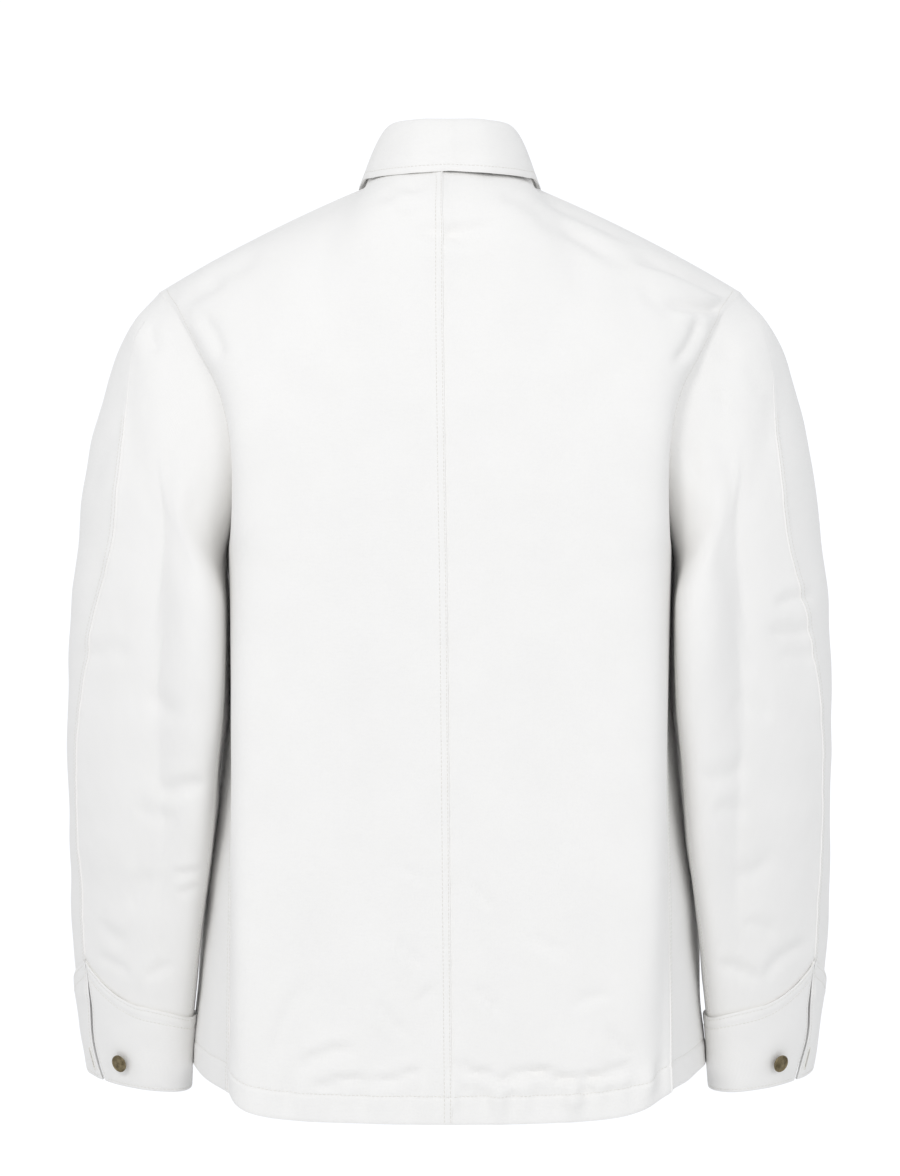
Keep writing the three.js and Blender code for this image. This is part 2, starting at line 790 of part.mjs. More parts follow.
// Sleeves in two panels, and cuffs over their ends
[1, -1].forEach((side) => {
  const grid = sleeveGrid(side);
  const rows = [0, sleeveRows];
  const turned = side === -1;
  const under = cutOut(grid, rows, [0, underColumns]);
  const upper = cutOut(grid, rows, [underColumns, sleeveColumns]);
  const ends = ["high", "low"];
  addPanel(`sleeve_under_${nameOfSide(side)}`, under, sleeveCutRow, ends, turned);
  addPanel(`sleeve_upper_${nameOfSide(side)}`, upper, sleeveCutRow, ends, turned);
  const cuff = movedOut(cuffGrid(side), turned, cuffThickness + seamGap);
  addSheet(`cuff_${nameOfSide(side)}`, cuff, turned, cuffThickness);
  const normals = gridNormals(cuff, turned);
  const column = sleeveColumns - cuffButtonColumn;
  const point = cuff[2][column].clone().lerp(cuff[3][column], cuffButtonShare);
  addButton(`button_cuff_${nameOfSide(side)}`, cuffButtonRadius, point, normals[2][column]);
});

// Collar stand and fall
const neckline = bothHalves((side) => necklinePoints(backGrids.get(side), frontGrids.get(side)));
const foldLine = collarLine(collarFold);
addSheet("collar_stand", standGrid(neckline, foldLine), false, clothThickness);
addSheet("collar_fall", fallGrid(foldLine, collarLine(collarEdge)), true, collarThickness);

// Patch pockets on the fronts
pockets.forEach((pocket) => {
  const turned = pocket.side === -1;
  const outside = movedOut(frontGrids.get(pocket.side), turned, pocketThickness + seamGap);
  const rows = [pocket.firstRow, pocket.lastRow];
  const columns = [pocket.firstColumn, pocket.lastColumn];
  addSheet(pocket.name, cutOut(outside, rows, columns), turned, pocketThickness);
});

// Share of the front's ribs that stands over the centre line at one level
function centreShareAt(level) {
  let low = 0;
  let high = 0.3;
  for (let step = 0; step < 20; step += 1) {
    const middle = (low + high) / 2;
    if (panelPoint(frontPanel, middle, level, 1).x < 0) low = middle;
    else high = middle;
  }
  return low;
}

// Front buttons, evenly spaced down the centre line of the left front
for (let index = 0; index < frontButtonCount; index += 1) {
  const level = topButtonLevel - buttonPitchLevel * index;
  const share = centreShareAt(level);
  const point = panelPoint(frontPanel, share, level, 1);
  const above = panelPoint(frontPanel, share, level + 0.02, 1);
  const beside = panelPoint(frontPanel, share + 0.02, level, 1);
  const normal = beside.sub(point).cross(above.sub(point)).normalize();
  addButton(`button_front_${index + 1}`, frontButtonRadius, point, normal);
}

const meeting = meetingPoints();
sheets.forEach((sheet) => addMesh(sheet.name, wallGeometry(sheet, meeting), canvas));

export default jacket;
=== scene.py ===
import math

import bpy
import numpy as np
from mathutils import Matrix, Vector, noise


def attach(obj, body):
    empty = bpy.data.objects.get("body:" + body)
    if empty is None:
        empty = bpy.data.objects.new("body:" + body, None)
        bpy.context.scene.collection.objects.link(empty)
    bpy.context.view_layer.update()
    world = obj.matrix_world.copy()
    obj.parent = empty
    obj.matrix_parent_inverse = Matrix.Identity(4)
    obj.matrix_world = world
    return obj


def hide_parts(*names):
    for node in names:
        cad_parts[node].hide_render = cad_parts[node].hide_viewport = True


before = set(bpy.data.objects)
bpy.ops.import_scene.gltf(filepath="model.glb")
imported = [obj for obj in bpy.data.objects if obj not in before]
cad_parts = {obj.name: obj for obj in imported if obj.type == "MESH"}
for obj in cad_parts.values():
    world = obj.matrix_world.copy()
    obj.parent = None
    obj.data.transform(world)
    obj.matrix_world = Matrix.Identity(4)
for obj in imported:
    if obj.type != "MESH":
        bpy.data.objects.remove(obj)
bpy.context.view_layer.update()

# The shape is worked out in millimetres and becomes metres where a mesh is made.
# +Z is up, the back faces +Y and the wearer's left is +X.
MM = 0.001

# Cloth and seams
CLOTH_THICKNESS = 1.6
COLLAR_THICKNESS = 2.2
CUFF_THICKNESS = 2.4
POCKET_THICKNESS = 1.6
SEAM_GAP = 0.3

# Shoulder seam, a ridge from the neck point to the top of the armhole
SHOULDER_TIP = np.array([242.0, -8.0, -84.0])
RIDGE_MIDDLE_Y = 5
RIDGE_MIDDLE_Z = 27
RIDGE_CROWN = 7.8
CROWN_LEVELS = 0.25
NECK_POINT_X = 70

# Front closing
FRONT_OVERLAP = 17
OVERLAP_END = 24
OVERLAP_FADE = 16
OVERLAP_DEPTH = 4.2

# Necklines
BACK_NECK = (70, 5)
FRONT_NECK = (-64, -76)
BACK_NECK_LEVEL = 1.952
FRONT_NECK_LEVEL = 1.885
NECK_FADE = 0.3
EVEN_STEPS = 24

# The centre back seam leans a little across the back, and the body swings at the hem
BACK_SEAM_TOP_X = 6
BACK_SEAM_HEM_X = -1.5
BACK_SEAM_LEVELS = 1.9
HEM_SWING = 6

# Steps round the sleeve, from the inner seam across the back to the elbow seam, then by the front
SLEEVE_STEPS = 24
UNDER_STEPS = 11

# The cuff, in distances down the sleeve and steps round it. Its top edge rises to a point at the
# elbow seam
CUFF_TOP = 615
CUFF_BOTTOM = 684
CUFF_LAP = 12
CUFF_RISE = 27
CUFF_RISE_STEPS = 3
CUFF_SLOPE = 12
CUFF_SLOPE_STEPS = 9

# The slit in the cuff: its width, its wander in steps, and where it opens in shares of its height
SLIT_WIDTH = 3.8
SLIT_SHIFT = 0.65
SLIT_WAVE = 0.12
SLIT_WAVE_TURN = 7
SLIT_CLOSED = 0.1
SLIT_OPENS_AT = 0.22
SLIT_OPENS_OVER = 0.16

# The sleeve is pressed flat beside the body, so its back is squarer on the inner side
INNER_SQUARENESS = 0.9


def table(columns, rows):
    """A table with named columns. The first column is the one it is read by."""
    values = np.array(rows, float)
    return {"key": values[:, 0], "columns": columns.split(), "values": values}


SIDE_SEAM = table("along x y z", [
    (0, 175, 94, -730),
    (0.35, 175, 74, -590),
    (0.68, 176, 46, -448),
    (1, 183, 15, -296),
])

BACK_ARMHOLE = table("along x y z", [
    (0, 183, 15, -296),
    (0.14, 178, 42, -284),
    (0.28, 174, 64, -256),
    (0.42, 174, 80, -218),
    (0.56, 183, 81, -177),
    (0.7, 202, 70, -142),
    (0.84, 222, 46, -108),
    (0.93, 236, 16, -91),
    (1, 242, -8, -84),
])

FRONT_ARMHOLE = table("along x y z", [
    (0, 183, 15, -296),
    (0.14, 182, -12, -288),
    (0.28, 178, -38, -264),
    (0.42, 176, -57, -228),
    (0.56, 182, -67, -187),
    (0.7, 198, -66, -150),
    (0.84, 220, -49, -113),
    (0.93, 233, -29, -94),
    (1, 242, -8, -84),
])

RIB_COLUMNS = "level centre_z centre_y fold_x fold_y flank_x flank_y fold_rise flank_rise crisp"
BACK_ROWS = [
    (0, -750, 118, 148, 120, 160, 117, 0.03, 0.55, 1.6),
    (0.35, -600, 116, 155, 119, 170, 119, 0.1, 0.5, 1.8),
    (0.68, -455, 115, 160, 119, 173, 120, 0.2, 0.6, 1.9),
    (1, -326, 117, 160, 121, 174, 122, 0.33, 0.67, 1.8),
    (1.28, -262, 118, 158, 122, 175, 122, 0.33, 0.67, 1.6),
    (1.42, -222, 117, 155, 122, 176, 122, 0.33, 0.67, 1.5),
    (1.56, -182, 115, 150, 120, 180, 119, 0.33, 0.67, 1.3),
    (1.7, -138, 110, 142, 115, 190, 110, 0.33, 0.67, 1.1),
    (1.84, -82, 98, 130, 99, 204, 82, 0.33, 0.67, 1),
    (1.93, -18, 78, 105, 68, 190, 47, 0.33, 0.67, 1),
]
FRONT_ROWS = [
    (0, -742, -135, 150, -136, 268, -116, 0.33, 0.67, 1.7),
    (0.35, -600, -134, 150, -135, 256, -124, 0.33, 0.67, 1.7),
    (0.68, -455, -132, 146, -133, 221, -118, 0.33, 0.67, 1.7),
    (1, -322, -129, 142, -130, 181, -80, 0.33, 0.67, 1.6),
    (1.28, -258, -124, 138, -125, 180, -100, 0.33, 0.67, 1.3),
    (1.42, -216, -118, 134, -119, 180, -102, 0.33, 0.67, 1.2),
    (1.56, -176, -110, 130, -111, 184, -98, 0.33, 0.67, 1.1),
    (1.7, -136, -98, 126, -99, 192, -86, 0.33, 0.67, 1),
    (1.84, -96, -79, 116, -79, 202, -64, 0.33, 0.67, 1),
    (1.93, -46, -52, 98, -50, 182, -38, 0.33, 0.67, 1),
]

SLEEVE_RINGS = table("down outer_x outer_z inner_x inner_z middle_y deep skew fill elbow inner", [
    (46, 266, -116, 183.8, -322, 3, 77, -0.1, 0.4, 36, 172),
    (108, 290, -178, 180.9, -352, 5, 75, -0.15, 0.75, 54, 171),
    (184, 305, -250, 180.6, -388, 6, 72, -0.2, 0.8, 56, 170),
    (274, 316, -345, 182.4, -430, 4, 67, -0.28, 0.75, 45, 169),
    (369, 321, -438, 188, -480, -2, 63, -0.35, 0.65, 36, 168),
    (459, 322, -527, 194, -540, -12, 59, -0.42, 0.5, 33, 168),
    (535, 323, -602, 205, -612, -28, 55, -0.48, 0.3, 36, 168),
    (600, 321, -666, 213, -674, -42, 51, -0.52, 0.1, 36, 168),
    (644, 317, -709, 218, -715, -51, 48, -0.54, 0, 33, 168),
    (684, 312, -747, 221, -753, -59, 46, -0.55, 0, 33, 168),
])

COLLAR_FOLD = table("along x y z", [
    (0, 0, 61, 42),
    (0.2, 28, 54, 43),
    (0.4, 50, 27, 42),
    (0.6, 53, -10, 23),
    (0.8, 35, -42, -13),
    (1, 1.5, -58, -44),
])

COLLAR_EDGE = table("along x y z", [
    (0, 0, 78, 2),
    (0.2, 34, 71, 1),
    (0.4, 65, 40, 3),
    (0.55, 74, 3, 5),
    (0.7, 81, -36, -14),
    (0.85, 77, -70, -50),
    (1, 62, -100, -112),
])
COLLAR_ROLL = 9
COLLAR_LIFT = 4.4


def curve_at(knots, values, wanted):
    """Smooth curve through the values at the knots, read at any array of places."""
    last = len(knots) - 1
    before = np.maximum(np.arange(last + 1) - 1, 0)
    after = np.minimum(np.arange(last + 1) + 1, last)
    slopes = (values[after] - values[before]) / (knots[after] - knots[before])[:, None]
    index = np.clip(np.searchsorted(knots, wanted, side="left") - 1, 0, last - 1)
    span = (knots[index + 1] - knots[index])[..., None]
    t = (wanted - knots[index])[..., None] / span
    start, end = values[index], values[index + 1]
    leave, arrive = slopes[index] * span, slopes[index + 1] * span
    bend = start * 2 - end * 2 + leave + arrive
    sweep = end * 3 - start * 3 - leave * 2 - arrive
    return ((bend * t + sweep) * t + leave) * t + start


def read(source, wanted):
    """Every column of a table at an array of values of its first column."""
    found = curve_at(source["key"], source["values"], np.asarray(wanted, float))
    return {name: found[..., index] for index, name in enumerate(source["columns"])}


def points_of(row):
    return np.stack([row["x"], row["y"], row["z"]], axis=-1)


def smooth(value):
    t = np.clip(value, 0, 1)
    return t * t * (3 - 2 * t)


# Body panels

def ridge_point(x):
    """Point of the straight shoulder ridge, carried on across the neck."""
    share = x / SHOULDER_TIP[0]
    y = RIDGE_MIDDLE_Y + (SHOULDER_TIP[1] - RIDGE_MIDDLE_Y) * share
    z = RIDGE_MIDDLE_Z + (SHOULDER_TIP[2] - RIDGE_MIDDLE_Z) * share
    return np.array([x, y, z])


def panel(rows, armhole, start_x, neck, neck_level, swing):
    """The shape of a body panel: its ribs up to the ridge, its armhole and its neckline."""
    start = ridge_point(start_x)
    third = ridge_point(start_x + (SHOULDER_TIP[0] - start_x) / 3)
    two_thirds = ridge_point(start_x + 2 * (SHOULDER_TIP[0] - start_x) / 3)
    ridge = (2, start[2], start[1], *third[:2], *two_thirds[:2], 1 / 3, 2 / 3, 1)
    width = SHOULDER_TIP[0] - start_x
    return {
        "ribs": table(RIB_COLUMNS, [*rows, ridge]),
        "armhole": armhole,
        "start_x": start_x,
        "neck": neck,
        "neck_level": neck_level,
        "swing": swing,
        "centre_share": -start_x / width,
        "neck_share": (NECK_POINT_X - start_x) / width,
    }


BACK = panel(BACK_ROWS, BACK_ARMHOLE, 0, BACK_NECK, BACK_NECK_LEVEL, HEM_SWING)
FRONT = panel(FRONT_ROWS, FRONT_ARMHOLE, -FRONT_OVERLAP, FRONT_NECK, FRONT_NECK_LEVEL, 0)


def panel_edge(shape, level):
    seam = points_of(read(SIDE_SEAM, np.minimum(level, 1)))
    hole = points_of(read(shape["armhole"], np.maximum(level - 1, 0)))
    return np.where((level <= 1)[..., None], seam, hole)


def rib_points(shape, level, side, t):
    """Points of the ribs, from 0 at the centre to 1 at the side seam or armhole."""
    row = read(shape["ribs"], level)
    edge = panel_edge(shape, level)
    swing = shape["swing"] * side * np.maximum(0, 1 - level)
    rise = edge[..., 2] - row["centre_z"]
    start = np.stack([np.full_like(level, shape["start_x"]), row["centre_y"], row["centre_z"]], -1)
    fold_z = row["centre_z"] + rise * row["fold_rise"]
    fold = np.stack([row["fold_x"] + swing, row["fold_y"], fold_z], -1)
    flank_z = row["centre_z"] + rise * row["flank_rise"]
    flank = np.stack([row["flank_x"] + swing, row["flank_y"], flank_z], -1)
    u = 1 - t
    weights = [u**3, 3 * u * u * t * row["crisp"], 3 * u * t * t * row["crisp"], t**3]
    total = sum(weights)
    corners = [start, fold, flank, edge]
    point = sum((weight / total)[..., None] * corner for weight, corner in zip(weights, corners))
    out = point[..., 0] / edge[..., 0]
    lift = smooth((level - 2 + CROWN_LEVELS) / CROWN_LEVELS)
    point[..., 2] += RIDGE_CROWN * 4 * out * (1 - out) * lift
    return point


def even_points(shape, level, side, share):
    """Points under the neck, evenly spaced along each rib."""
    steps = np.linspace(0, shape["neck_share"], EVEN_STEPS + 1)[:, None]
    many = np.broadcast_to(level, (EVEN_STEPS + 1, len(level)))
    line = rib_points(shape, many, side, np.broadcast_to(steps, many.shape))
    lengths = np.linalg.norm(np.diff(line, axis=0), axis=-1)
    lengths = np.concatenate([np.zeros((1, len(level))), np.cumsum(lengths, axis=0)])
    wanted = lengths[-1] * share / shape["neck_share"]
    index = np.clip((lengths < wanted).sum(axis=0), 1, EVEN_STEPS)
    place = np.arange(len(level))
    start, end = lengths[index - 1, place], lengths[index, place]
    t = ((wanted - start) / (end - start))[:, None]
    return line[index - 1, place] * (1 - t) + line[index, place] * t


def neck_point(shape, share):
    """Point of the neckline above a share of the ribs."""
    neck = ridge_point(NECK_POINT_X)
    out = NECK_POINT_X / SHOULDER_TIP[0]
    neck[2] += RIDGE_CROWN * 4 * out * (1 - out)
    across = (share - shape["centre_share"]) / (shape["neck_share"] - shape["centre_share"])
    rise = np.sqrt(1 - np.clip(across, 0, 1) ** 2)
    y = neck[1] + (shape["neck"][0] - neck[1]) * rise
    z = neck[2] + (shape["neck"][1] - neck[2]) * rise
    return np.stack([NECK_POINT_X * across, y, z], -1)


def top_level(shape, share):
    """The highest level above a share: a quarter of an ellipse at the neck, then the ridge."""
    across = (share - shape["centre_share"]) / (shape["neck_share"] - shape["centre_share"])
    rise = 1 - np.sqrt(1 - np.clip(across, 0, 1) ** 2)
    return shape["neck_level"] + (2 - shape["neck_level"]) * rise


def panel_points(shape, share, level, side):
    share, level = np.broadcast_arrays(np.asarray(share, float), np.asarray(level, float))
    point = rib_points(shape, level, side, share)
    low = share < shape["neck_share"]
    under = even_points(shape, level[low], side, share[low])
    top = top_level(shape, share[low])
    drawn = smooth((level[low] - top + NECK_FADE) / NECK_FADE)[:, None]
    on_top = even_points(shape, top, side, share[low])
    point[low] = under + (neck_point(shape, share[low]) - on_top) * drawn
    if shape is BACK:
        up = np.minimum(level / BACK_SEAM_LEVELS, 1)
        lean = BACK_SEAM_HEM_X + (BACK_SEAM_TOP_X - BACK_SEAM_HEM_X) * up
        near = np.maximum(0, 1 - share / shape["neck_share"])
        point[..., 0] += lean * side * near
    return point


def panel_grid(shape, side, columns=70, rows=150):
    """Fine grid of a body panel for the left half (side 1) or the right half (side -1)."""
    share = np.linspace(0, 1, columns)
    row = np.linspace(0, 2, rows)[:, None]
    level = np.minimum(row, 1) + (top_level(shape, share) - 1) * np.maximum(row - 1, 0)
    level = np.where(share >= shape["neck_share"], row, level)
    grid = panel_points(shape, np.broadcast_to(share, level.shape), level, side)
    grid[..., 0] *= side
    return relaxed(grid, rounds=12)


def relaxed(grid, rounds):
    """The grid with its inner points eased towards their neighbours."""
    for _ in range(rounds):
        inner = grid[1:-1, 1:-1]
        around = grid[:-2, 1:-1] + grid[2:, 1:-1] + grid[1:-1, :-2] + grid[1:-1, 2:]
        grid[1:-1, 1:-1] = inner * 0.5 + around * 0.125
    return grid


# Sleeves and cuffs

def armhole_point(step):
    """Point of the armhole where a step of the sleeve begins."""
    half = SLEEVE_STEPS / 2
    back = points_of(read(BACK_ARMHOLE, np.minimum(step / half, 1)))
    front = points_of(read(FRONT_ARMHOLE, np.clip((SLEEVE_STEPS - step) / half, 0, 1)))
    return np.where((step <= half)[..., None], back, front)


def ring_points(step):
    """The rings' points at an array of steps round the sleeve, one row for each ring."""
    ring = {name: values[:, None] for name, values in read(SLEEVE_RINGS, SLEEVE_RINGS["key"]).items()}
    over_steps = SLEEVE_STEPS - UNDER_STEPS
    under = ring["inner"] + (ring["elbow"] - ring["inner"]) * step / UNDER_STEPS
    beyond = (step - UNDER_STEPS) / over_steps
    over = ring["elbow"] + (ring["inner"] - 360 - ring["elbow"]) * beyond
    angle = np.radians(np.where(step <= UNDER_STEPS, under, over))
    cos, sin = np.cos(angle), np.sin(angle)
    size = np.sqrt(1 + 2 * ring["skew"] * sin * cos)
    across = (cos + ring["skew"] * sin) / size
    filled = 1 + ring["fill"] * np.maximum(0, sin) * np.maximum(0, -cos)
    power = 1 + INNER_SQUARENESS * ring["fill"] * np.minimum(0, cos)
    rise = np.where(sin > 0, np.maximum(0, sin) ** power, sin)
    depth = (rise + ring["skew"] * cos) / size * filled
    x = (ring["outer_x"] + ring["inner_x"]) / 2 + (ring["outer_x"] - ring["inner_x"]) / 2 * across
    z = (ring["outer_z"] + ring["inner_z"]) / 2 + (ring["outer_z"] - ring["inner_z"]) / 2 * across
    y = ring["middle_y"] + ring["deep"] * depth
    return np.stack([x, y, z], -1)


def sleeve_points(step, down):
    """Points of the sleeve, one column for each step and one row for each distance down."""
    start = armhole_point(step)[None]
    knots = np.concatenate([[0], SLEEVE_RINGS["key"]])
    rings = np.concatenate([start, ring_points(step)])
    columns = [curve_at(knots, rings[:, index], down[:, index]) for index in range(len(step))]
    return np.stack(columns, axis=1)


def cuff_top_at(step):
    steps = np.abs(step - UNDER_STEPS)
    away = np.minimum(steps, SLEEVE_STEPS - steps)
    near = np.maximum(0, 1 - away / CUFF_RISE_STEPS)
    slope = np.maximum(0, 1 - away / CUFF_SLOPE_STEPS)
    return CUFF_TOP - CUFF_RISE * near * near - CUFF_SLOPE * slope


def sleeve_grid(side, first, last, columns=70, rows=150):
    step = np.linspace(first, last, columns)
    end = cuff_top_at(step) + CUFF_LAP
    down = np.linspace(0, 1, rows)[:, None] * end
    grid = sleeve_points(step, down)
    grid[..., 0] *= side
    return grid


def cuff_grid(side, columns=121, rows=24):
    """The cuff from its buttonhole end round to its button end, with a slit that wanders down."""
    around = UNDER_STEPS + np.linspace(0, SLEEVE_STEPS, columns)
    around = np.where(around > SLEEVE_STEPS, around - SLEEVE_STEPS, around)
    top = cuff_top_at(around)
    lines = []
    for share in np.linspace(0, 1, rows):
        wander = SLIT_SHIFT * (share + SLIT_WAVE * math.sin(SLIT_WAVE_TURN * share))
        step = around - wander
        step = np.where(step < 0, step + SLEEVE_STEPS, step)
        line = sleeve_points(step, (top + share * (CUFF_BOTTOM - top))[None])[0]
        opening = smooth((share - SLIT_OPENS_AT) / SLIT_OPENS_OVER)
        opened = SLIT_WIDTH / 2 * (SLIT_CLOSED + (1 - SLIT_CLOSED) * opening)
        for edge, inner in ((0, 3), (-1, -4)):
            away = line[inner] - line[edge]
            line[edge] += away / np.linalg.norm(away) * opened
        lines.append(line)
    grid = np.stack(lines)
    grid[..., 0] *= side
    return grid


# Collar

def neckline(along, side):
    """The neckline from the centre back, over the neck point, to the centre front."""
    turn = np.where(along <= 0.5, along * 2, 2 - along * 2)
    sweep = np.sin(np.pi / 2 * turn)
    back_share = BACK["neck_share"] * sweep
    front_share = FRONT["centre_share"] + (FRONT["neck_share"] - FRONT["centre_share"]) * sweep
    back = neck_point(BACK, back_share)
    back[..., 0] += BACK_SEAM_TOP_X * side * np.maximum(0, 1 - sweep)
    front = neck_point(FRONT, front_share)
    line = np.where((along <= 0.5)[..., None], back, front)
    line[..., 0] *= side
    return line


def both_halves(half, count=61):
    """A collar line from the wearer's left front end, round the back, to the right one."""
    along = np.linspace(0, 1, count)
    left, right = half(along, 1), half(along, -1)
    return np.concatenate([left[::-1], right[1:]])


def collar_line(source):
    def half(along, side):
        line = points_of(read(source, along))
        line[..., 0] *= side
        return line

    return both_halves(half)


def stand_grid(rows=16):
    low, fold = both_halves(neckline), collar_line(COLLAR_FOLD)
    t = np.linspace(0, 1, rows)[:, None, None]
    return low * (1 - t) + fold * t


def fall_grid(rows=40):
    """The fall rolls over the top of the stand and comes down outside it."""
    fold, edge = collar_line(COLLAR_FOLD), collar_line(COLLAR_EDGE)
    outward = edge - fold
    outward[:, 2] = 0
    outward *= COLLAR_ROLL / np.linalg.norm(outward, axis=-1, keepdims=True)
    start = fold + [0, 0, COLLAR_LIFT]
    roll = start + outward + [0, 0, 1]
    t = np.linspace(0, 1, rows)[:, None, None]
    return start * (1 - t) ** 2 + roll * 2 * t * (1 - t) + edge * t * t


# Grids

def lengths_along(grid, axis):
    """Distance of each grid point from the first one along an axis."""
    steps = np.linalg.norm(np.diff(grid, axis=axis), axis=-1)
    start = np.zeros_like(np.take(steps, [0], axis=axis))
    return np.concatenate([start, np.cumsum(steps, axis=axis)], axis=axis)


def normals_of(grid, turned):
    along = np.gradient(grid, axis=0)
    across = np.gradient(grid, axis=1)
    normal = np.cross(along, across) if turned else np.cross(across, along)
    return normal / np.linalg.norm(normal, axis=-1, keepdims=True)


# Meshes

def new_mesh(name, points, faces, sharp_degrees=None):
    """A smooth mesh of points in millimetres, with sharp edges past an angle."""
    mesh = bpy.data.meshes.new(name)
    mesh.from_pydata((points * MM).tolist(), [], faces)
    mesh.polygons.foreach_set("use_smooth", np.ones(len(faces), bool))
    if sharp_degrees:
        mesh.set_sharp_from_angle(angle=math.radians(sharp_degrees))
    mesh.update()
    return mesh


def hole_rim(index, hole, inside):
    """Faces round a hole, from the outer to the inner side of a wall."""
    low, high, left, right = hole
    bottom, top = index[low, left:right], index[high, right:left:-1]
    border = np.concatenate([bottom, index[low:high, right], top, index[high:low:-1, left]])
    after = np.roll(border, -1)
    return np.stack([border, after, after + inside, border + inside], -1)


def wall_mesh(name, grid, turned, thickness, holes=()):
    """A closed cloth wall: the grid is its outside, and the inside is a thickness further in."""
    rows, columns = grid.shape[:2]
    inner = grid - normals_of(grid, turned) * np.asarray(thickness)[..., None]
    points = np.concatenate([grid.reshape(-1, 3), inner.reshape(-1, 3)])
    inside = rows * columns
    index = np.arange(inside).reshape(rows, columns)
    cloth = np.stack([index[:-1, :-1], index[:-1, 1:], index[1:, 1:], index[1:, :-1]], -1)
    kept = np.ones(cloth.shape[:2], bool)
    for low, high, left, right in holes:
        kept[low:high, left:right] = False
    outer_faces = cloth[kept]
    border = np.concatenate([index[0, :-1], index[:-1, -1], index[-1, :0:-1], index[:0:-1, 0]])
    after = np.roll(border, -1)
    edges = [np.stack([after, border, border + inside, after + inside], -1)]
    edges += [hole_rim(index, hole, inside) for hole in holes]
    faces = np.concatenate([outer_faces, outer_faces[:, ::-1] + inside, *edges])
    if turned:
        faces = faces[:, ::-1]
    mesh = new_mesh(name, points, faces.tolist(), 50)
    across = lengths_along(grid, 1).reshape(-1) * MM
    up = lengths_along(grid, 0).reshape(-1) * MM
    flat = np.tile(np.stack([across, up], -1), (2, 1))
    layer = mesh.uv_layers.new(name="cloth")
    layer.data.foreach_set("uv", flat[faces.reshape(-1)].astype(np.float32).ravel())
    return mesh


def add_object(name, data):
    made = bpy.data.objects.new(name, data)
    bpy.context.scene.collection.objects.link(made)
    return made


def add_piece(name, mesh, material, nodes):
    piece = add_object(name, mesh)
    mesh.materials.append(material)
    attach(piece, "root")
    if nodes:
        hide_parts(*nodes)
    return piece


# Folds and relief, all in millimetres out from the cloth

def fold_height(x, z, fold):
    """Height of one soft fold, bowed, with a shallow roll beside it, that dies out at its ends."""
    start_x, start_z, end_x, end_z, bow, depth, width = fold
    length = math.hypot(end_x - start_x, end_z - start_z)
    run_x, run_z = (end_x - start_x) / length, (end_z - start_z) / length
    t = ((x - start_x) * run_x + (z - start_z) * run_z) / length
    off = (x - start_x) * -run_z + (z - start_z) * run_x - bow * 4 * t * (1 - t)
    ends = smooth(np.minimum(t, 1 - t) / 0.3)
    core = np.exp(-((off / width) ** 2))
    beside = np.exp(-(((off - 2 * width) / (1.3 * width)) ** 2))
    return depth * ends * (core - 0.35 * beside)


def fold_heights(grid, folds):
    x, z = grid[..., 0], grid[..., 2]
    return sum((fold_height(x, z, fold) for fold in folds), np.zeros_like(x))


# The noise is read this far apart for each seed, so that no two read the same bumps
SEED_STEP = 17.3


def softness(points, sizes, depth, seed):
    """Uneven softness of the cloth: smooth noise with a size along each axis."""
    flat = (points / np.asarray(sizes, float)).reshape(-1, 3)
    values = [noise.noise(Vector((x, y, z + seed * SEED_STEP))) for x, y, z in flat]
    return depth * np.array(values).reshape(points.shape[:-1])


def moved_out(grid, turned, heights):
    return grid + normals_of(grid, turned) * np.asarray(heights)[..., None]


def band(distance, width, height):
    """A doubled band of cloth along an edge, with a soft step at its inner side."""
    return height * smooth((width + 0.8 - distance) / 1.6)


def groove(distance, place, depth=0.4, width=1.1):
    """The line that a row of stitches pulls into the cloth."""
    return -depth * np.exp(-(((distance - place) / width) ** 2))


def rounded(distance, depth=0.6, reach=2.0):
    """A free edge that rolls over."""
    return -depth * np.clip(1 - distance / reach, 0, 1) ** 2


# Puckers are three waves of these lengths, each started at its own share of the seed
PUCKER_WAVES = ((3.1, 1), (4.7, 2.3), (8.3, 0.7))


def pucker(distance, reach, along, depth, seed):
    """Small puckers across a stitched edge."""
    wave = sum(np.sin(along / length + seed * share) for length, share in PUCKER_WAVES)
    return depth * wave / 2 * np.exp(-((distance / reach) ** 2))


def distances(grid):
    """Distances to the four sides of a grid: first column, last column, first row and last row."""
    across, up = lengths_along(grid, 1), lengths_along(grid, 0)
    return across, across[:, -1:] - across, up, up[-1:] - up


FELL_WIDTH = 7
HEM_HEIGHT = 21
FACING_WIDTH = 35
CUFF_STITCH_WIDTH = 10.5

# Depth and reach of the roll of an edge with several layers, and depth of a light row of stitches
THICK_EDGE = (0.8, 2.5)
LIGHT_ROW = 0.35

# Depth of the hem's puckers on the left and on the right half of the back, and on the fronts
BACK_HEM_PUCKERS = {1: 1.6, -1: 3}
FRONT_HEM_PUCKERS = 0.5

# Seams and rows of stitches fade in over short lengths at the armhole and at the shoulder tip
ARMHOLE_BOTTOM = -296
ARMHOLE_FADE = 12
SHOULDER_START = 66
SHOULDER_FADE = 6
TIP_FADE = 40

# The elbow seam stands up as a soft crease, which begins below the top of the sleeve
CREASE_HEIGHT = 1.8
CREASE_REACH = 11
CREASE_START = 45
CREASE_FADE = 110

# The cloth bulges beside the top of the cuff's slit
SLIT_BUMP = 2.2
BUMP_ACROSS = 6
BUMP_DOWN = 26
BUMP_REACH = 8

# The top of the sleeve is full at the elbow seam
CAP_FULLNESS = 2.4
CAP_DOWN = 30
CAP_REACH = 20
CAP_WIDTH = 50

# The inner side of the sleeve swells beside the body, from under the armhole down
UNDERARM_SWELL = 6
SWELL_PLACE = 44
SWELL_REACH = 36
SWELL_START = 12
SWELL_RISE = 60
SWELL_FADE = 330

# Unevenness grows below this height of the body, and folds fade out this near the seams
SOFT_TOP = -430
SOFT_LENGTH = 320
SIDE_CALM = 14
FRONT_TOP_CALM = 10
SLEEVE_CALM = 30

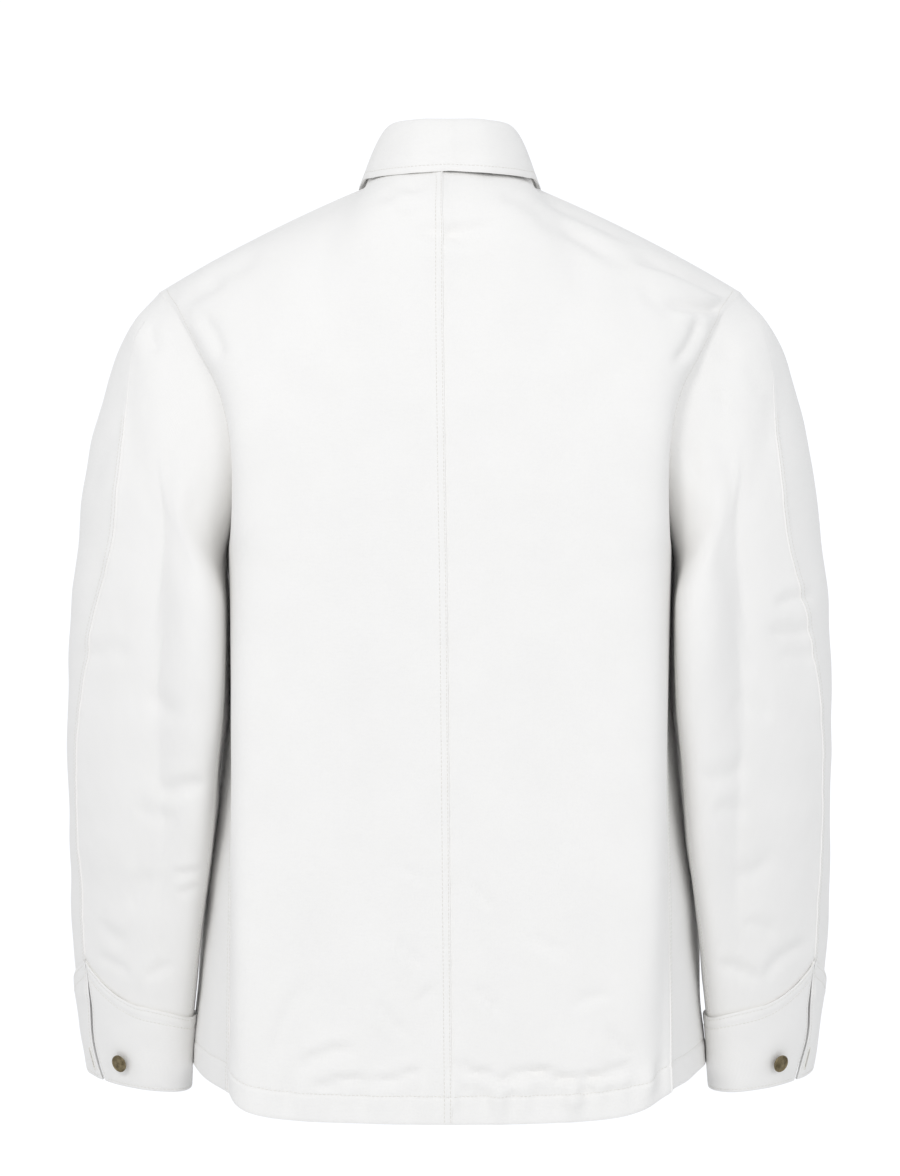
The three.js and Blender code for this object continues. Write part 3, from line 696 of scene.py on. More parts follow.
# The end of the sleeve lies plain under the cuff: first without folds, then without relief
FOLDS_END = 14
FOLDS_FADE = 30
RELIEF_END = 10
RELIEF_FADE = 8

# Folds as start x and z, end x and z, bow, depth (a trough is negative) and half width
BACK_FOLDS = [
    (-138, -64, -240, -97, -5, -6, 6),
    (-164, -104, -236, -101, 3, -5.5, 5),
    (-172, -158, -200, -108, 6, -4.5, 5),
    (-206, -156, -232, -112, -2, -3, 5),
    (-150, -86, -186, -120, 4, -1.6, 6),
    (-64, -12, -154, -54, -2, -2.8, 5),
    (-84, -34, -150, -76, 4, -1.8, 6),
    (178, -84, 222, -104, 3, -3.4, 7),
    (204, -108, 178, -156, -4, -3.4, 6),
    (216, -122, 204, -150, -2, -2.4, 5),
    (150, -60, 206, -84, -3, -2.6, 8),
    (34, -45, -40, -50, 4, -5, 8),
    (8, -40, -14, -60, 2, -2.4, 3.5),
    (62, -24, 16, -12, -3, -2.6, 3.5),
    (48, -36, 14, -27, -2, -2.2, 3.5),
    (-36, -18, -82, -36, -3, -2.6, 5),
    (-56, -34, -134, -66, -4, -2.6, 7),
    (34, -548, 22, -560, 1, -1.6, 3),
    (44, -600, 20, -628, 2, -1.8, 3.5),
    (58, -650, 30, -684, 3, -2, 4),
    (8, -640, 26, -660, 2, -1.6, 3.5),
    (-18, -560, -34, -580, 2, -1.6, 3.5),
    (-14, -640, -42, -668, -3, -1.8, 3.5),
    (-60, -600, -96, -616, 3, -1.4, 4),
    (-92, -660, -130, -648, -3, -1.6, 4),
    (-4, -702, -40, -712, 3, -3.6, 3.5),
    (-30, -718, -74, -710, -2, -4.4, 3.5),
    (-58, -704, -112, -716, 3, -4.6, 3.5),
    (-96, -720, -150, -706, -3, -4.6, 3.5),
    (-70, -722, -118, -726, -1, -3, 3),
    (-120, -672, -150, -700, 3, -2, 5),
    (16, -704, 70, -718, -3, -2.6, 3.5),
    (60, -714, 112, -722, 2, -2.8, 3.5),
    (68, -690, 122, -706, 4, -2.6, 4.5),
    (108, -630, 140, -712, 5, -2, 7),
]

FRONT_FOLDS = [
    (40, -96, 150, -150, 8, -2.2, 12),
    (-40, -96, -146, -156, -8, -2.4, 12),
    (60, -200, 150, -300, 14, -1.8, 16),
    (-56, -210, -152, -290, -12, -2, 15),
    (176, -300, 120, -420, 10, -2.2, 14),
    (-176, -300, -126, -430, -10, -2, 14),
    (30, -520, 60, -720, 6, 1.8, 18),
    (-34, -500, -64, -720, -6, 1.8, 18),
    (110, -470, 132, -730, 4, -1.8, 16),
    (-108, -450, -136, -730, -4, -1.8, 16),
    (196, -560, 214, -700, 4, -1.6, 9),
    (-198, -590, -212, -710, -4, -1.8, 8),
]


def body_folds(grid, is_back):
    """Large folds and softness of a body panel."""
    low = smooth((SOFT_TOP - grid[..., 2]) / SOFT_LENGTH)
    heights = fold_heights(grid, BACK_FOLDS if is_back else FRONT_FOLDS)
    heights += softness(grid, (95, 95, 420), 2.4, 1) * (0.3 + low)
    heights += softness(grid, (40, 40, 62), 1.2, 2) * (0.4 + low)
    return heights


def hem_relief(from_hem, along, depth, seed):
    height = band(from_hem, HEM_HEIGHT, 0.5) + groove(from_hem, HEM_HEIGHT, 0.5, 1.2)
    height += rounded(from_hem, *THICK_EDGE)
    return height + pucker(from_hem - HEM_HEIGHT, 14, along, depth, seed)


def felled(distance, height=0.7):
    """A felled seam: a doubled band with two rows of stitches."""
    return band(distance, FELL_WIDTH, height) + groove(distance, 1.5) + groove(distance, FELL_WIDTH - 1.5)


def off_tip(grid):
    """0 at the shoulder tip, which is the panel's last corner, and 1 away from it."""
    return smooth(np.linalg.norm(grid - grid[-1, -1], axis=-1) / TIP_FADE)


def above_armhole(grid):
    return smooth((grid[..., 2] - ARMHOLE_BOTTOM) / ARMHOLE_FADE)


def back_relief(grid, side):
    first, last, low, top = distances(grid)
    height = hem_relief(low, grid[..., 0], BACK_HEM_PUCKERS[side], 1.3)
    height += felled(first) if side == 1 else groove(first, 0, 0.5, 2)
    height += pucker(first, 8, grid[..., 2], 0.22, side)
    beside_neck = smooth((np.abs(grid[..., 0]) - SHOULDER_START) / SHOULDER_FADE)
    stitched = band(last, FELL_WIDTH, 0.35) + groove(last, FELL_WIDTH - 1.5, 0.3)
    height += off_tip(grid) * (beside_neck * felled(top, 0.4) + above_armhole(grid) * stitched)
    return height + (1 - above_armhole(grid)) * groove(last, 0, 0.4, 2)


def front_relief(grid):
    first, last, low, _ = distances(grid)
    height = hem_relief(low, grid[..., 0], FRONT_HEM_PUCKERS, 2.1)
    height += rounded(first) + groove(first, 2, LIGHT_ROW) + pucker(first, 9, grid[..., 2], 0.2, 3)
    height += groove(first, FACING_WIDTH, 0.3) + pucker(first - FACING_WIDTH, 6, grid[..., 2], 0.15, 4)
    height += felled(last) * off_tip(grid)
    return height + above_armhole(grid) * pucker(last, 9, grid[..., 2], 0.2, 5)


def inside_shift(grid):
    """The right front passes inside the left one, with a soft step beside it."""
    beyond = np.maximum(0, -grid[..., 0] - OVERLAP_END) / OVERLAP_FADE
    return -OVERLAP_DEPTH * np.maximum(0, 1 - beyond)


# Folds of each sleeve, with x counted outwards from the middle of the body
LEFT_SLEEVE_FOLDS = [
    (244, -114, 232, -144, 2, -3, 6),
    (222, -118, 214, -150, 2, -1.8, 6),
    (196, -236, 206, -340, 6, -2, 9),
    (270, -200, 292, -262, 4, -1.6, 9),
    (278, -300, 300, -352, -4, -1.8, 8),
    (250, -380, 316, -396, 4, -2, 9),
    (204, -430, 246, -412, -5, -1.8, 9),
    (190, -486, 236, -500, 3, -3.4, 7),
    (214, -516, 258, -506, -3, -1.6, 8),
    (196, -560, 226, -566, 2, -2.2, 4),
    (200, -574, 222, -582, 2, -2, 4),
    (238, -560, 262, -600, 5, -1.5, 8),
    (262, -622, 296, -606, -4, -1.6, 7),
    (224, -640, 252, -656, 3, -1.8, 5),
    (262, -654, 300, -640, 4, -1.8, 5),
]
RIGHT_SLEEVE_FOLDS = [
    (206, -122, 232, -146, -6, -2.6, 7),
    (196, -112, 182, -160, -5, -2.4, 7),
    (212, -172, 220, -192, 2, -2, 3),
    (236, -150, 250, -178, 3, -1.4, 7),
    (186, -212, 196, -250, 3, -2.4, 7),
    (196, -262, 214, -340, 7, -1.8, 10),
    (256, -346, 300, -338, 3, -2.2, 5),
    (250, -362, 298, -366, -3, -2.4, 6),
    (262, -384, 300, -392, 3, -1.6, 6),
    (216, -420, 262, -440, 5, -1.6, 9),
    (196, -482, 240, -470, -4, -1.8, 8),
    (206, -508, 244, -516, 4, -1.6, 7),
    (226, -566, 268, -548, -5, -1.6, 8),
    (236, -606, 270, -618, 4, -1.5, 6),
    (214, -640, 262, -662, 5, -2.2, 6),
    (256, -660, 304, -626, 7, -2, 6),
]


def sleeve_folds(grid, side, is_upper):
    """Folds and softness of a sleeve panel, with the swell beside the body on the under one."""
    folds = LEFT_SLEEVE_FOLDS if side == 1 else RIGHT_SLEEVE_FOLDS
    heights = fold_heights(grid * [side, 1, 1], folds)
    heights += softness(grid, (140, 140, 40), 1.8, 3)
    heights += softness(grid, (60, 60, 160), 1.5, 4)
    first, last, low, high = distances(grid)
    inner = last if is_upper else first
    heights = heights * smooth(low / SLEEVE_CALM) * smooth(inner / SLEEVE_CALM)
    if is_upper:
        return heights
    swell = UNDERARM_SWELL * np.exp(-(((first - SWELL_PLACE) / SWELL_REACH) ** 2))
    return heights + swell * smooth((low - SWELL_START) / SWELL_RISE) * smooth(high / SWELL_FADE)


def sleeve_relief(grid, is_upper):
    first, last, low, _ = distances(grid)
    elbow, inner = (first, last) if is_upper else (last, first)
    begun = smooth((low - CREASE_START) / CREASE_FADE)
    cap = CAP_FULLNESS * np.exp(-(((low - CAP_DOWN) / CAP_REACH) ** 2)) * np.exp(-((elbow / CAP_WIDTH) ** 2))
    crease = CREASE_HEIGHT * np.exp(-elbow / CREASE_REACH) * (0.25 + 0.75 * begun)
    height = cap + crease + begun * pucker(elbow, 8, grid[..., 2], 0.25, 2) + 0.35 * np.exp(-low / 2)
    if is_upper:
        return height + begun * felled(elbow, 0.5) + groove(inner, 0, 0.4, 2)
    return height + felled(inner, 0.6) + begun * groove(elbow, 0, 0.5, 2)


def cuff_relief(grid):
    first, last, top, bottom = distances(grid)
    height = rounded(first) + rounded(last) + rounded(top, 0.7) + rounded(bottom, *THICK_EDGE)
    for distance in (first, last, top, bottom):
        height += groove(distance, 3, LIGHT_ROW)
    height += groove(top, CUFF_STITCH_WIDTH, LIGHT_ROW)
    across = np.exp(-(((first - BUMP_ACROSS) / BUMP_ACROSS) ** 2))
    bump = across * np.exp(-(((top - BUMP_DOWN) / BUMP_REACH) ** 2))
    height += softness(grid, (22, 22, 30), 0.9, 6) + pucker(top, 10, first, 0.25, 1)
    return height + SLIT_BUMP * bump


# One small fold in the middle of the collar's back, which lies beyond this distance behind
COLLAR_FOLDS = [(16, 12, -22, 9, 1, -0.9, 3)]
COLLAR_BACK_Y = 40


def collar_relief(grid):
    first, last, _, edge = distances(grid)
    height = rounded(first) + rounded(last) + rounded(edge, *THICK_EDGE)
    for distance in (first, last, edge):
        height += groove(distance, 6.5, LIGHT_ROW)
    height += fold_heights(grid, COLLAR_FOLDS) * (grid[..., 1] > COLLAR_BACK_Y)
    return height + softness(grid, (50, 50, 50), 1, 7) + pucker(edge, 9, first, 0.2, 2)


# Pieces of the jacket

def side_name(side):
    return "left" if side == 1 else "right"


def folded_panel(shape, side):
    """Grid of a body panel with its large folds, and which way its rows and columns turn."""
    is_back = shape is BACK
    turned = (side == 1) == is_back
    grid = panel_grid(shape, side)
    if not is_back and side == -1:
        grid = moved_out(grid, turned, inside_shift(grid))
    _, last, _, top = distances(grid)
    away = smooth(last / SIDE_CALM) * smooth(top / (SIDE_CALM if is_back else FRONT_TOP_CALM))
    return moved_out(grid, turned, body_folds(grid, is_back) * away), turned


# Steps in from an edge of a fine grid, close where there is relief, and the spacing between them
SPACING = 3.2
ROW_STEPS = (1, 1, 1, 1.2, 1.5, 1.5, 1.5, 1.5, 2, 2.5)
FEW_STEPS = (1, 1, 1.5, 2)
HEM_STEPS = (1.5, 2, 2.5, 3, 3, 3, 2.5, 1.5, 1, 1, 1, 1, 1.5, 2, 2.5)


def row_spread(total, spacing, low_steps, high_steps):
    """Places along lines of these lengths: steps in from both ends, and even ones between."""
    low, high = np.cumsum([0, *low_steps]), np.cumsum([0, *high_steps])
    count = int(round((np.mean(total) - low[-1] - high[-1]) / spacing)) + 1
    middle = np.linspace(0, 1, count)[1:-1]
    total = np.asarray(total, float)[:, None]
    inner = low[-1] + (total - low[-1] - high[-1]) * middle
    start = np.broadcast_to(low, (len(total), len(low)))
    return np.concatenate([start, inner, total - high[::-1]], axis=1)


def fine_grid(grid, spacing, first, last, low, top):
    """The same surface with real spacing: steps in from each side, then an even spacing between."""
    for axis, start, end in ((1, first, last), (0, low, top)):
        lines = grid if axis == 1 else grid.swapaxes(0, 1)
        lengths = lengths_along(lines, 1)
        wanted = row_spread(lengths[:, -1], spacing, start, end)
        lines = np.stack([curve_at(*line) for line in zip(lengths, lines, wanted)])
        grid = lines if axis == 1 else lines.swapaxes(0, 1)
    return grid


# Stitches

STITCH_PITCH = 3.3
STITCH_LENGTH = 2.5
STITCH_WIDTH = 0.55
STITCH_HEIGHT = 0.32
STITCH_DEPTH = 0.15
STITCH_CORNERS = 10


def stitch_points(line, normals):
    """Corners of the stitches along one line: a tip, four corners, four corners and a tip each."""
    lengths = np.concatenate([[0], np.cumsum(np.linalg.norm(np.diff(line, axis=0), axis=1))])
    places = np.arange(STITCH_PITCH, lengths[-1] - STITCH_PITCH, STITCH_PITCH)
    centre = np.stack([np.interp(places, lengths, line[:, axis]) for axis in range(3)], -1)
    ahead = np.stack([np.interp(places + 1, lengths, line[:, axis]) for axis in range(3)], -1)
    up = np.stack([np.interp(places, lengths, normals[:, axis]) for axis in range(3)], -1)
    along = ahead - centre
    along /= np.linalg.norm(along, axis=1, keepdims=True)
    beside = np.cross(up, along)
    corners = [centre - along * STITCH_LENGTH / 2]
    for place in (-0.3, 0.3):
        middle = centre + along * STITCH_LENGTH * place
        corners.append(middle + beside * STITCH_WIDTH / 2)
        corners.append(middle + up * STITCH_HEIGHT)
        corners.append(middle - beside * STITCH_WIDTH / 2)
        corners.append(middle - up * STITCH_DEPTH)
    corners.append(centre + along * STITCH_LENGTH / 2)
    return np.stack(corners, axis=1)


STITCH_FACES = [
    (0, 2, 1), (0, 3, 2), (0, 4, 3), (0, 1, 4),
    (1, 2, 6, 5), (2, 3, 7, 6), (3, 4, 8, 7), (4, 1, 5, 8),
    (9, 5, 6), (9, 6, 7), (9, 7, 8), (9, 8, 5),
]


def stitch_mesh(name, rows):
    """One mesh of all the stitches of a piece, from its rows of (line, normals)."""
    corners = np.concatenate([stitch_points(line, normals) for line, normals in rows])
    faces = []
    for index in range(len(corners)):
        faces.extend(tuple(corner + index * STITCH_CORNERS for corner in face) for face in STITCH_FACES)
    return new_mesh(name, corners.reshape(-1, 3), faces)


def columns_of(grid, normals, indices, rows=slice(None)):
    return [(grid[rows, index], normals[rows, index]) for index in indices]


def rows_of(grid, normals, indices, columns=slice(None)):
    return [(grid[index, columns], normals[index, columns]) for index in indices]


# Materials

# The canvas: its colour and the pitch of its threads, in metres. A wave texture repeats at this
# length at a scale of 1
CANVAS_COLOUR = (0.9, 0.89, 0.868)
CANVAS_SHADE = 0.98
THREAD_PITCH = 0.0011
WAVE_LENGTH = 0.314


def feed(tree, node, inputs):
    """Sets a node's inputs: an output of another node is linked, and anything else is a value."""
    for name, value in inputs.items():
        if isinstance(value, bpy.types.NodeSocket):
            tree.links.new(value, node.inputs[name])
        else:
            node.inputs[name].default_value = value


def add_node(tree, kind, inputs):
    node = tree.nodes.new(kind)
    feed(tree, node, inputs)
    return node


def math_of(tree, operation, first, second):
    node = add_node(tree, "ShaderNodeMath", {0: first, 1: second})
    node.operation = operation
    return node.outputs["Value"]


def ramp_of(tree, factor, low, high):
    """A colour between two stops, each a position and a colour."""
    node = add_node(tree, "ShaderNodeValToRGB", {"Fac": factor})
    for stop, (position, colour) in zip(node.color_ramp.elements, (low, high)):
        stop.position = position
        stop.color = (*colour, 1)
    return node.outputs["Color"]


def bump_of(tree, height, strength, distance):
    inputs = {"Height": height, "Strength": strength, "Distance": distance}
    return add_node(tree, "ShaderNodeBump", inputs).outputs["Normal"]


def new_material(name):
    material = bpy.data.materials.new(name)
    material.use_nodes = True
    tree = material.node_tree
    return material, tree, tree.nodes["Principled BSDF"]


def weave_height(tree, place):
    """A plain weave, from waves across and along, with slubs in its threads."""
    weave = []
    for direction in ("X", "Y"):
        inputs = {"Vector": place, "Scale": WAVE_LENGTH / THREAD_PITCH, "Distortion": 0.6, "Detail": 1}
        wave = add_node(tree, "ShaderNodeTexWave", inputs)
        wave.bands_direction = direction
        weave.append(wave.outputs["Fac"])
    stretch = add_node(tree, "ShaderNodeMapping", {"Vector": place, "Scale": (60, 900, 1)})
    inputs = {"Vector": stretch.outputs["Vector"], "Scale": 1, "Detail": 2}
    slubs = add_node(tree, "ShaderNodeTexNoise", inputs)
    return math_of(tree, "ADD", math_of(tree, "MULTIPLY", *weave), slubs.outputs["Fac"])


def canvas_material():
    """Canvas: an off-white with faint unevenness, and a weave in its bump."""
    material, tree, shader = new_material("canvas")
    node = tree.nodes.new("ShaderNodeUVMap")
    node.uv_map = "cloth"
    place = node.outputs["UV"]
    uneven = add_node(tree, "ShaderNodeTexNoise", {"Vector": place, "Scale": 22, "Detail": 4})
    shade = [value * CANVAS_SHADE for value in CANVAS_COLOUR]
    feed(tree, shader, {
        "Base Color": ramp_of(tree, uneven.outputs["Fac"], (0.3, shade), (0.7, CANVAS_COLOUR)),
        "Normal": bump_of(tree, weave_height(tree, place), 0.35, 0.0003),
        "Roughness": 0.92,
        "Sheen Weight": 0.12,
        "Sheen Roughness": 0.5,
        "Specular IOR Level": 0.25,
    })
    return material


def thread_material():
    """Cotton thread with a fine twist in its colour."""
    material, tree, shader = new_material("thread")
    place = tree.nodes.new("ShaderNodeTexCoord").outputs["Object"]
    twist = add_node(tree, "ShaderNodeTexNoise", {"Vector": place, "Scale": 900})
    dark, light = (0.74, 0.72, 0.66), (0.88, 0.865, 0.82)
    feed(tree, shader, {
        "Base Color": ramp_of(tree, twist.outputs["Fac"], (0, dark), (1, light)),
        "Roughness": 0.7,
    })
    return material


def brass_material():
    """Antique brass: dull and patchy, darker where it has tarnished."""
    material, tree, shader = new_material("antique_brass")
    place = tree.nodes.new("ShaderNodeTexCoord").outputs["Object"]
    noisy = add_node(tree, "ShaderNodeTexNoise", {"Vector": place, "Scale": 260, "Detail": 5})
    patches = noisy.outputs["Fac"]
    dull = add_node(tree, "ShaderNodeMapRange", {"Value": patches, "To Min": 0.34, "To Max": 0.55})
    dark, light = (0.12, 0.095, 0.05), (0.27, 0.22, 0.13)
    feed(tree, shader, {
        "Base Color": ramp_of(tree, patches, (0.35, dark), (0.65, light)),
        "Normal": bump_of(tree, patches, 0.15, 0.0002),
        "Roughness": dull.outputs["Result"],
        "Metallic": 0.85,
    })
    return material


canvas = canvas_material()
thread = thread_material()
brass = brass_material()


def nodes_of(name):
    """The node of a piece, or the two nodes that a long panel is cut into."""
    return [node for node in (name, name + "_high", name + "_low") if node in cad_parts]


def add_cloth(name, grid, turned, thickness, rows, holes=()):
    """A piece of cloth with its stitches, in the place of its nodes."""
    mesh = wall_mesh(name, grid, turned, thickness, holes)
    piece = add_piece(name + "_cloth", mesh, canvas, nodes_of(name))
    if rows:
        stitches = name + "_stitches"
        add_piece(stitches, stitch_mesh(stitches, rows), thread, [])
    return piece


# Grid lines that rows of stitches follow, counted in from an edge, and where those at the armhole
# and down the elbow seam begin, as shares of the panel's length
HEM_LINE = 11
FELL_LINES = [1, 5]
BACK_ARMHOLE_START = 0.6
ELBOW_ROWS_START = 0.2

# The turned hem is thicker by this much
HEM_EXTRA = 2


def make_panel(shape, side):
    """A body panel with its stitches. Its folded grid is what the pockets are made from."""
    folded, turned = folded_panel(shape, side)
    plain = fine_grid(folded, SPACING, ROW_STEPS, ROW_STEPS, HEM_STEPS, ROW_STEPS)
    is_back = shape is BACK
    grid = moved_out(plain, turned, back_relief(plain, side) if is_back else front_relief(plain))
    normals = normals_of(grid, turned)
    low = distances(grid)[2]
    thickness = CLOTH_THICKNESS + HEM_EXTRA * smooth((HEM_HEIGHT + 1 - low) / 2)
    rows = rows_of(grid, normals, [HEM_LINE])
    if not is_back:
        rows += columns_of(grid, normals, [2, -2, -6])
    elif side == 1:
        rows += columns_of(grid, normals, FELL_LINES)
    if is_back:
        rows += columns_of(grid, normals, [-6], slice(int(len(grid) * BACK_ARMHOLE_START), -8))
    part = "back" if is_back else "front"
    add_cloth(f"{part}_{side_name(side)}", grid, turned, thickness, rows)
    return folded, turned


def make_sleeve(side):
    turned = side == -1
    for part, first, last in (("under", 0, UNDER_STEPS), ("upper", UNDER_STEPS, SLEEVE_STEPS)):
        base = sleeve_grid(side, first, last)
        end = distances(base)[3]
        is_upper = part == "upper"
        folds = sleeve_folds(base, side, is_upper) * smooth((end - FOLDS_END) / FOLDS_FADE)
        folded = moved_out(base, turned, folds)
        plain = fine_grid(folded, SPACING, ROW_STEPS, ROW_STEPS, FEW_STEPS, FEW_STEPS)
        calm = smooth((distances(plain)[3] - RELIEF_END) / RELIEF_FADE)
        grid = moved_out(plain, turned, sleeve_relief(plain, is_upper) * calm)
        normals = normals_of(grid, turned)
        start = int(len(grid) * ELBOW_ROWS_START) if is_upper else 4
        rows = columns_of(grid, normals, FELL_LINES, slice(start, -5))
        add_cloth(f"sleeve_{part}_{side_name(side)}", grid, turned, CLOTH_THICKNESS, rows)


# Buttonholes

HOLE_WIDTH = 2.4
THREAD_RIDGE = 0.5


def add_buttonhole(name, ends, normal, width, count=44, sides=8):
    """A close-sewn ridge of thread round a slit between two ends."""
    start, end = ends
    along = end - start
    half = np.linalg.norm(along) / 2
    along /= 2 * half
    beside = np.cross(normal, along)
    reach = width / 2 + THREAD_RIDGE * 0.7
    points = []
    for step in range(count):
        angle = 2 * math.pi * step / count
        straight = half * np.clip(math.cos(angle) * 1.6, -1, 1)
        spoke = along * math.cos(angle) + beside * math.sin(angle)
        foot = (start + end) / 2 + along * straight + spoke * reach
        swell = THREAD_RIDGE * (1 + 0.08 * (step % 2))
        for part in range(sides):
            turn = 2 * math.pi * part / sides
            points.append(foot + (spoke * math.cos(turn) + normal * math.sin(turn)) * swell)
    index = np.arange(count * sides).reshape(count, sides)
    ahead = np.roll(index, -1, axis=0)
    faces = np.stack([index, ahead, np.roll(ahead, -1, axis=1), np.roll(index, -1, axis=1)], -1)
    mesh = new_mesh(name, np.array(points), faces.reshape(-1, 4).tolist())
    add_piece(name, mesh, thread, [])


# Steps in from the cuff's buttonhole end and up from its bottom edge, with the slit of the hole
# between two of its columns and over a run of its rows
HOLE_COLUMN_STEPS = (1, 1, 1, 1.3, 1.6, 2.4, 1.4, 1.5, 1.5, 1.5, 1.6, 1.6, 2)
HOLE_ROW_STEPS = (1, 1, 1, 1.5, 2, 3, 2, 2, 2, 2, 2, 2, 2, 2, 1, 1.5)
CUFF_HOLE = (-15, -7, 5, 6)
CUFF_SPACING = 1.8


def make_cuff(side):
    turned = side == -1
    base = moved_out(cuff_grid(side), turned, CUFF_THICKNESS + SEAM_GAP)
    plain = fine_grid(base, CUFF_SPACING, HOLE_COLUMN_STEPS, ROW_STEPS, ROW_STEPS, HOLE_ROW_STEPS)
    grid = moved_out(plain, turned, cuff_relief(plain))
    normals = normals_of(grid, turned)
    rows = rows_of(grid, normals, [3, 9, -4], slice(3, -3))
    rows += columns_of(grid, normals, [3, -4], slice(3, -3))
    low, high, left, right = CUFF_HOLE
    hole = (len(grid) + low, len(grid) + high, left, right)
    name = f"cuff_{side_name(side)}"
    add_cloth(name, grid, turned, CUFF_THICKNESS, rows, [hole])
    corners = grid[[hole[0], hole[0], hole[1], hole[1]], [left, right, left, right]]
    ends = (corners[:2].mean(axis=0), corners[2:].mean(axis=0))
    add_buttonhole(name + "_buttonhole", ends, normals[(hole[0] + hole[1]) // 2, left], HOLE_WIDTH)


COLLAR_SPACING = 2.2
SMALL_SPACING = 2.5


def make_collar():
    stand = fine_grid(stand_grid(), SMALL_SPACING, FEW_STEPS, FEW_STEPS, FEW_STEPS, FEW_STEPS)
    add_cloth("collar_stand", stand, False, CLOTH_THICKNESS, [])
    plain = fine_grid(fall_grid(), COLLAR_SPACING, ROW_STEPS, ROW_STEPS, FEW_STEPS, ROW_STEPS)
    grid = moved_out(plain, True, collar_relief(plain))
    normals = normals_of(grid, True)
    rows = rows_of(grid, normals, [-6], slice(5, -5))
    rows += columns_of(grid, normals, [5, -6], slice(6, -5))
    add_cloth("collar_fall", grid, True, COLLAR_THICKNESS, rows)


# Columns across a front: a run under the neck, then one under the shoulder
NECK_COLUMNS = 5
SHOULDER_COLUMNS = 8


def front_share(column):
    """Share of the front's ribs at one of its columns."""
    if column <= NECK_COLUMNS:
        turn = math.sin(math.pi / 2 * column / NECK_COLUMNS)
        return FRONT["centre_share"] + (FRONT["neck_share"] - FRONT["centre_share"]) * turn
    return FRONT["neck_share"] + (1 - FRONT["neck_share"]) * (column - NECK_COLUMNS) / SHOULDER_COLUMNS


# Patch pockets of each side: kind, first and last column, and lowest and highest level
HIP_POCKET = ("hip", 2, 9, 1 / 9, 5 / 9)
CHEST_POCKET = ("chest", 1, 5, 8 / 9, 1.25)
POCKETS = {1: [HIP_POCKET, CHEST_POCKET], -1: [HIP_POCKET]}
POCKET_LINES = 40


def make_pocket(side, folded, turned, kind, first, last, low, high):
    """A patch pocket from the front panel's own points, moved out."""
    outside = moved_out(folded, turned, POCKET_THICKNESS + SEAM_GAP)
    share = np.linspace(front_share(first), front_share(last), POCKET_LINES)
    row = np.linspace(low, high, POCKET_LINES)
    columns = np.linspace(0, 1, folded.shape[1])
    rows = np.linspace(0, 2, folded.shape[0])
    lines = np.stack([curve_at(columns, line, share) for line in outside])
    patch = np.stack([curve_at(rows, lines[:, index], row) for index in range(POCKET_LINES)], axis=1)
    plain = fine_grid(patch, SMALL_SPACING, ROW_STEPS, ROW_STEPS, ROW_STEPS, HEM_STEPS)
    left, right, bottom, top = distances(plain)
    height = rounded(left) + rounded(right) + rounded(bottom) + rounded(top, *THICK_EDGE)
    for distance in (left, right, bottom):
        height += groove(distance, 2, LIGHT_ROW) + groove(distance, FELL_WIDTH, 0.3)
    height += groove(top, HEM_HEIGHT, 0.4) + pucker(bottom, 9, left, 0.2, 3)
    grid = moved_out(plain, turned, height)
    normals = normals_of(grid, turned)
    rows = rows_of(grid, normals, [2, 6, -12], slice(2, -2))
    rows += columns_of(grid, normals, [2, 6, -3, -7], slice(2, -2))
    cut = f"pocket_{kind}"
    add_cloth(f"{cut}_{side_name(side)}", grid, turned, POCKET_THICKNESS, rows)


# Shank buttons, in the places of their nodes

# Profile of a button as distance out and height, from the foot of the shank up to the dome, for a
# button of this radius. Corners this near the greatest radius are the rim
BUTTON_PROFILE = [
    (2.3, 0), (2.4, 0.4), (2.2, 1.2), (2.3, 2.2), (2.9, 2.8), (6.6, 3.1), (7.9, 3.5), (8.4, 4),
    (8.5, 4.5), (8.35, 4.9), (8, 5.1), (7.55, 5.05), (7.25, 4.75), (7, 4.5), (6.7, 4.45), (6, 4.62),
    (5.2, 4.8), (4.9, 4.85), (4.7, 4.7), (4.5, 4.85), (3, 5.05), (1.5, 5.15),
]
PROFILE_RADIUS = 8.5
BUTTON_TOP = 5.2
NEAR_RIM = 0.97


def button_place(node):
    """Foot, axis and radius of a button, from the corners of its solid."""
    corners = np.array([vertex.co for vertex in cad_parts[node].data.vertices]) / MM
    middle = corners.mean(axis=0)
    axis = np.linalg.svd(corners - middle)[2][2]
    height = (corners - middle) @ axis
    radius = np.linalg.norm(corners - middle - height[:, None] * axis, axis=1)
    widest = height[radius > radius.max() * NEAR_RIM].mean()
    if widest < (height.min() + height.max()) / 2:
        axis, height = -axis, -height
    return middle + axis * height.min(), axis, radius.max()


def button_faces(rings, sides):
    """Faces between the rings, then a fan at the foot and one at the top."""
    faces = []
    foot, top = rings * sides, rings * sides + 1
    for low in range(0, (rings - 1) * sides, sides):
        for step in range(sides):
            after = (step + 1) % sides
            faces.append((low + step, low + after, low + sides + after, low + sides + step))
    last = (rings - 1) * sides
    for step in range(sides):
        after = (step + 1) % sides
        faces.append((foot, after, step))
        faces.append((top, last + step, last + after))
    return faces


def button_mesh(name, node, sides=48):
    foot, axis, radius = button_place(node)
    across = np.cross(axis, [0, 0, 1])
    across /= np.linalg.norm(across)
    beside = np.cross(axis, across)
    points = []
    for out, up in BUTTON_PROFILE:
        for step in range(sides):
            angle = 2 * math.pi * step / sides
            spoke = across * math.cos(angle) + beside * math.sin(angle)
            points.append(foot + spoke * out * radius / PROFILE_RADIUS + axis * up)
    points += [foot, foot + axis * BUTTON_TOP]
    return new_mesh(name, np.array(points), button_faces(len(BUTTON_PROFILE), sides), 60)


def make_buttons():
    for node in sorted(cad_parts):
        if node.startswith("button_"):
            name = node + "_brass"
            add_piece(name, button_mesh(name, node), brass, [node])


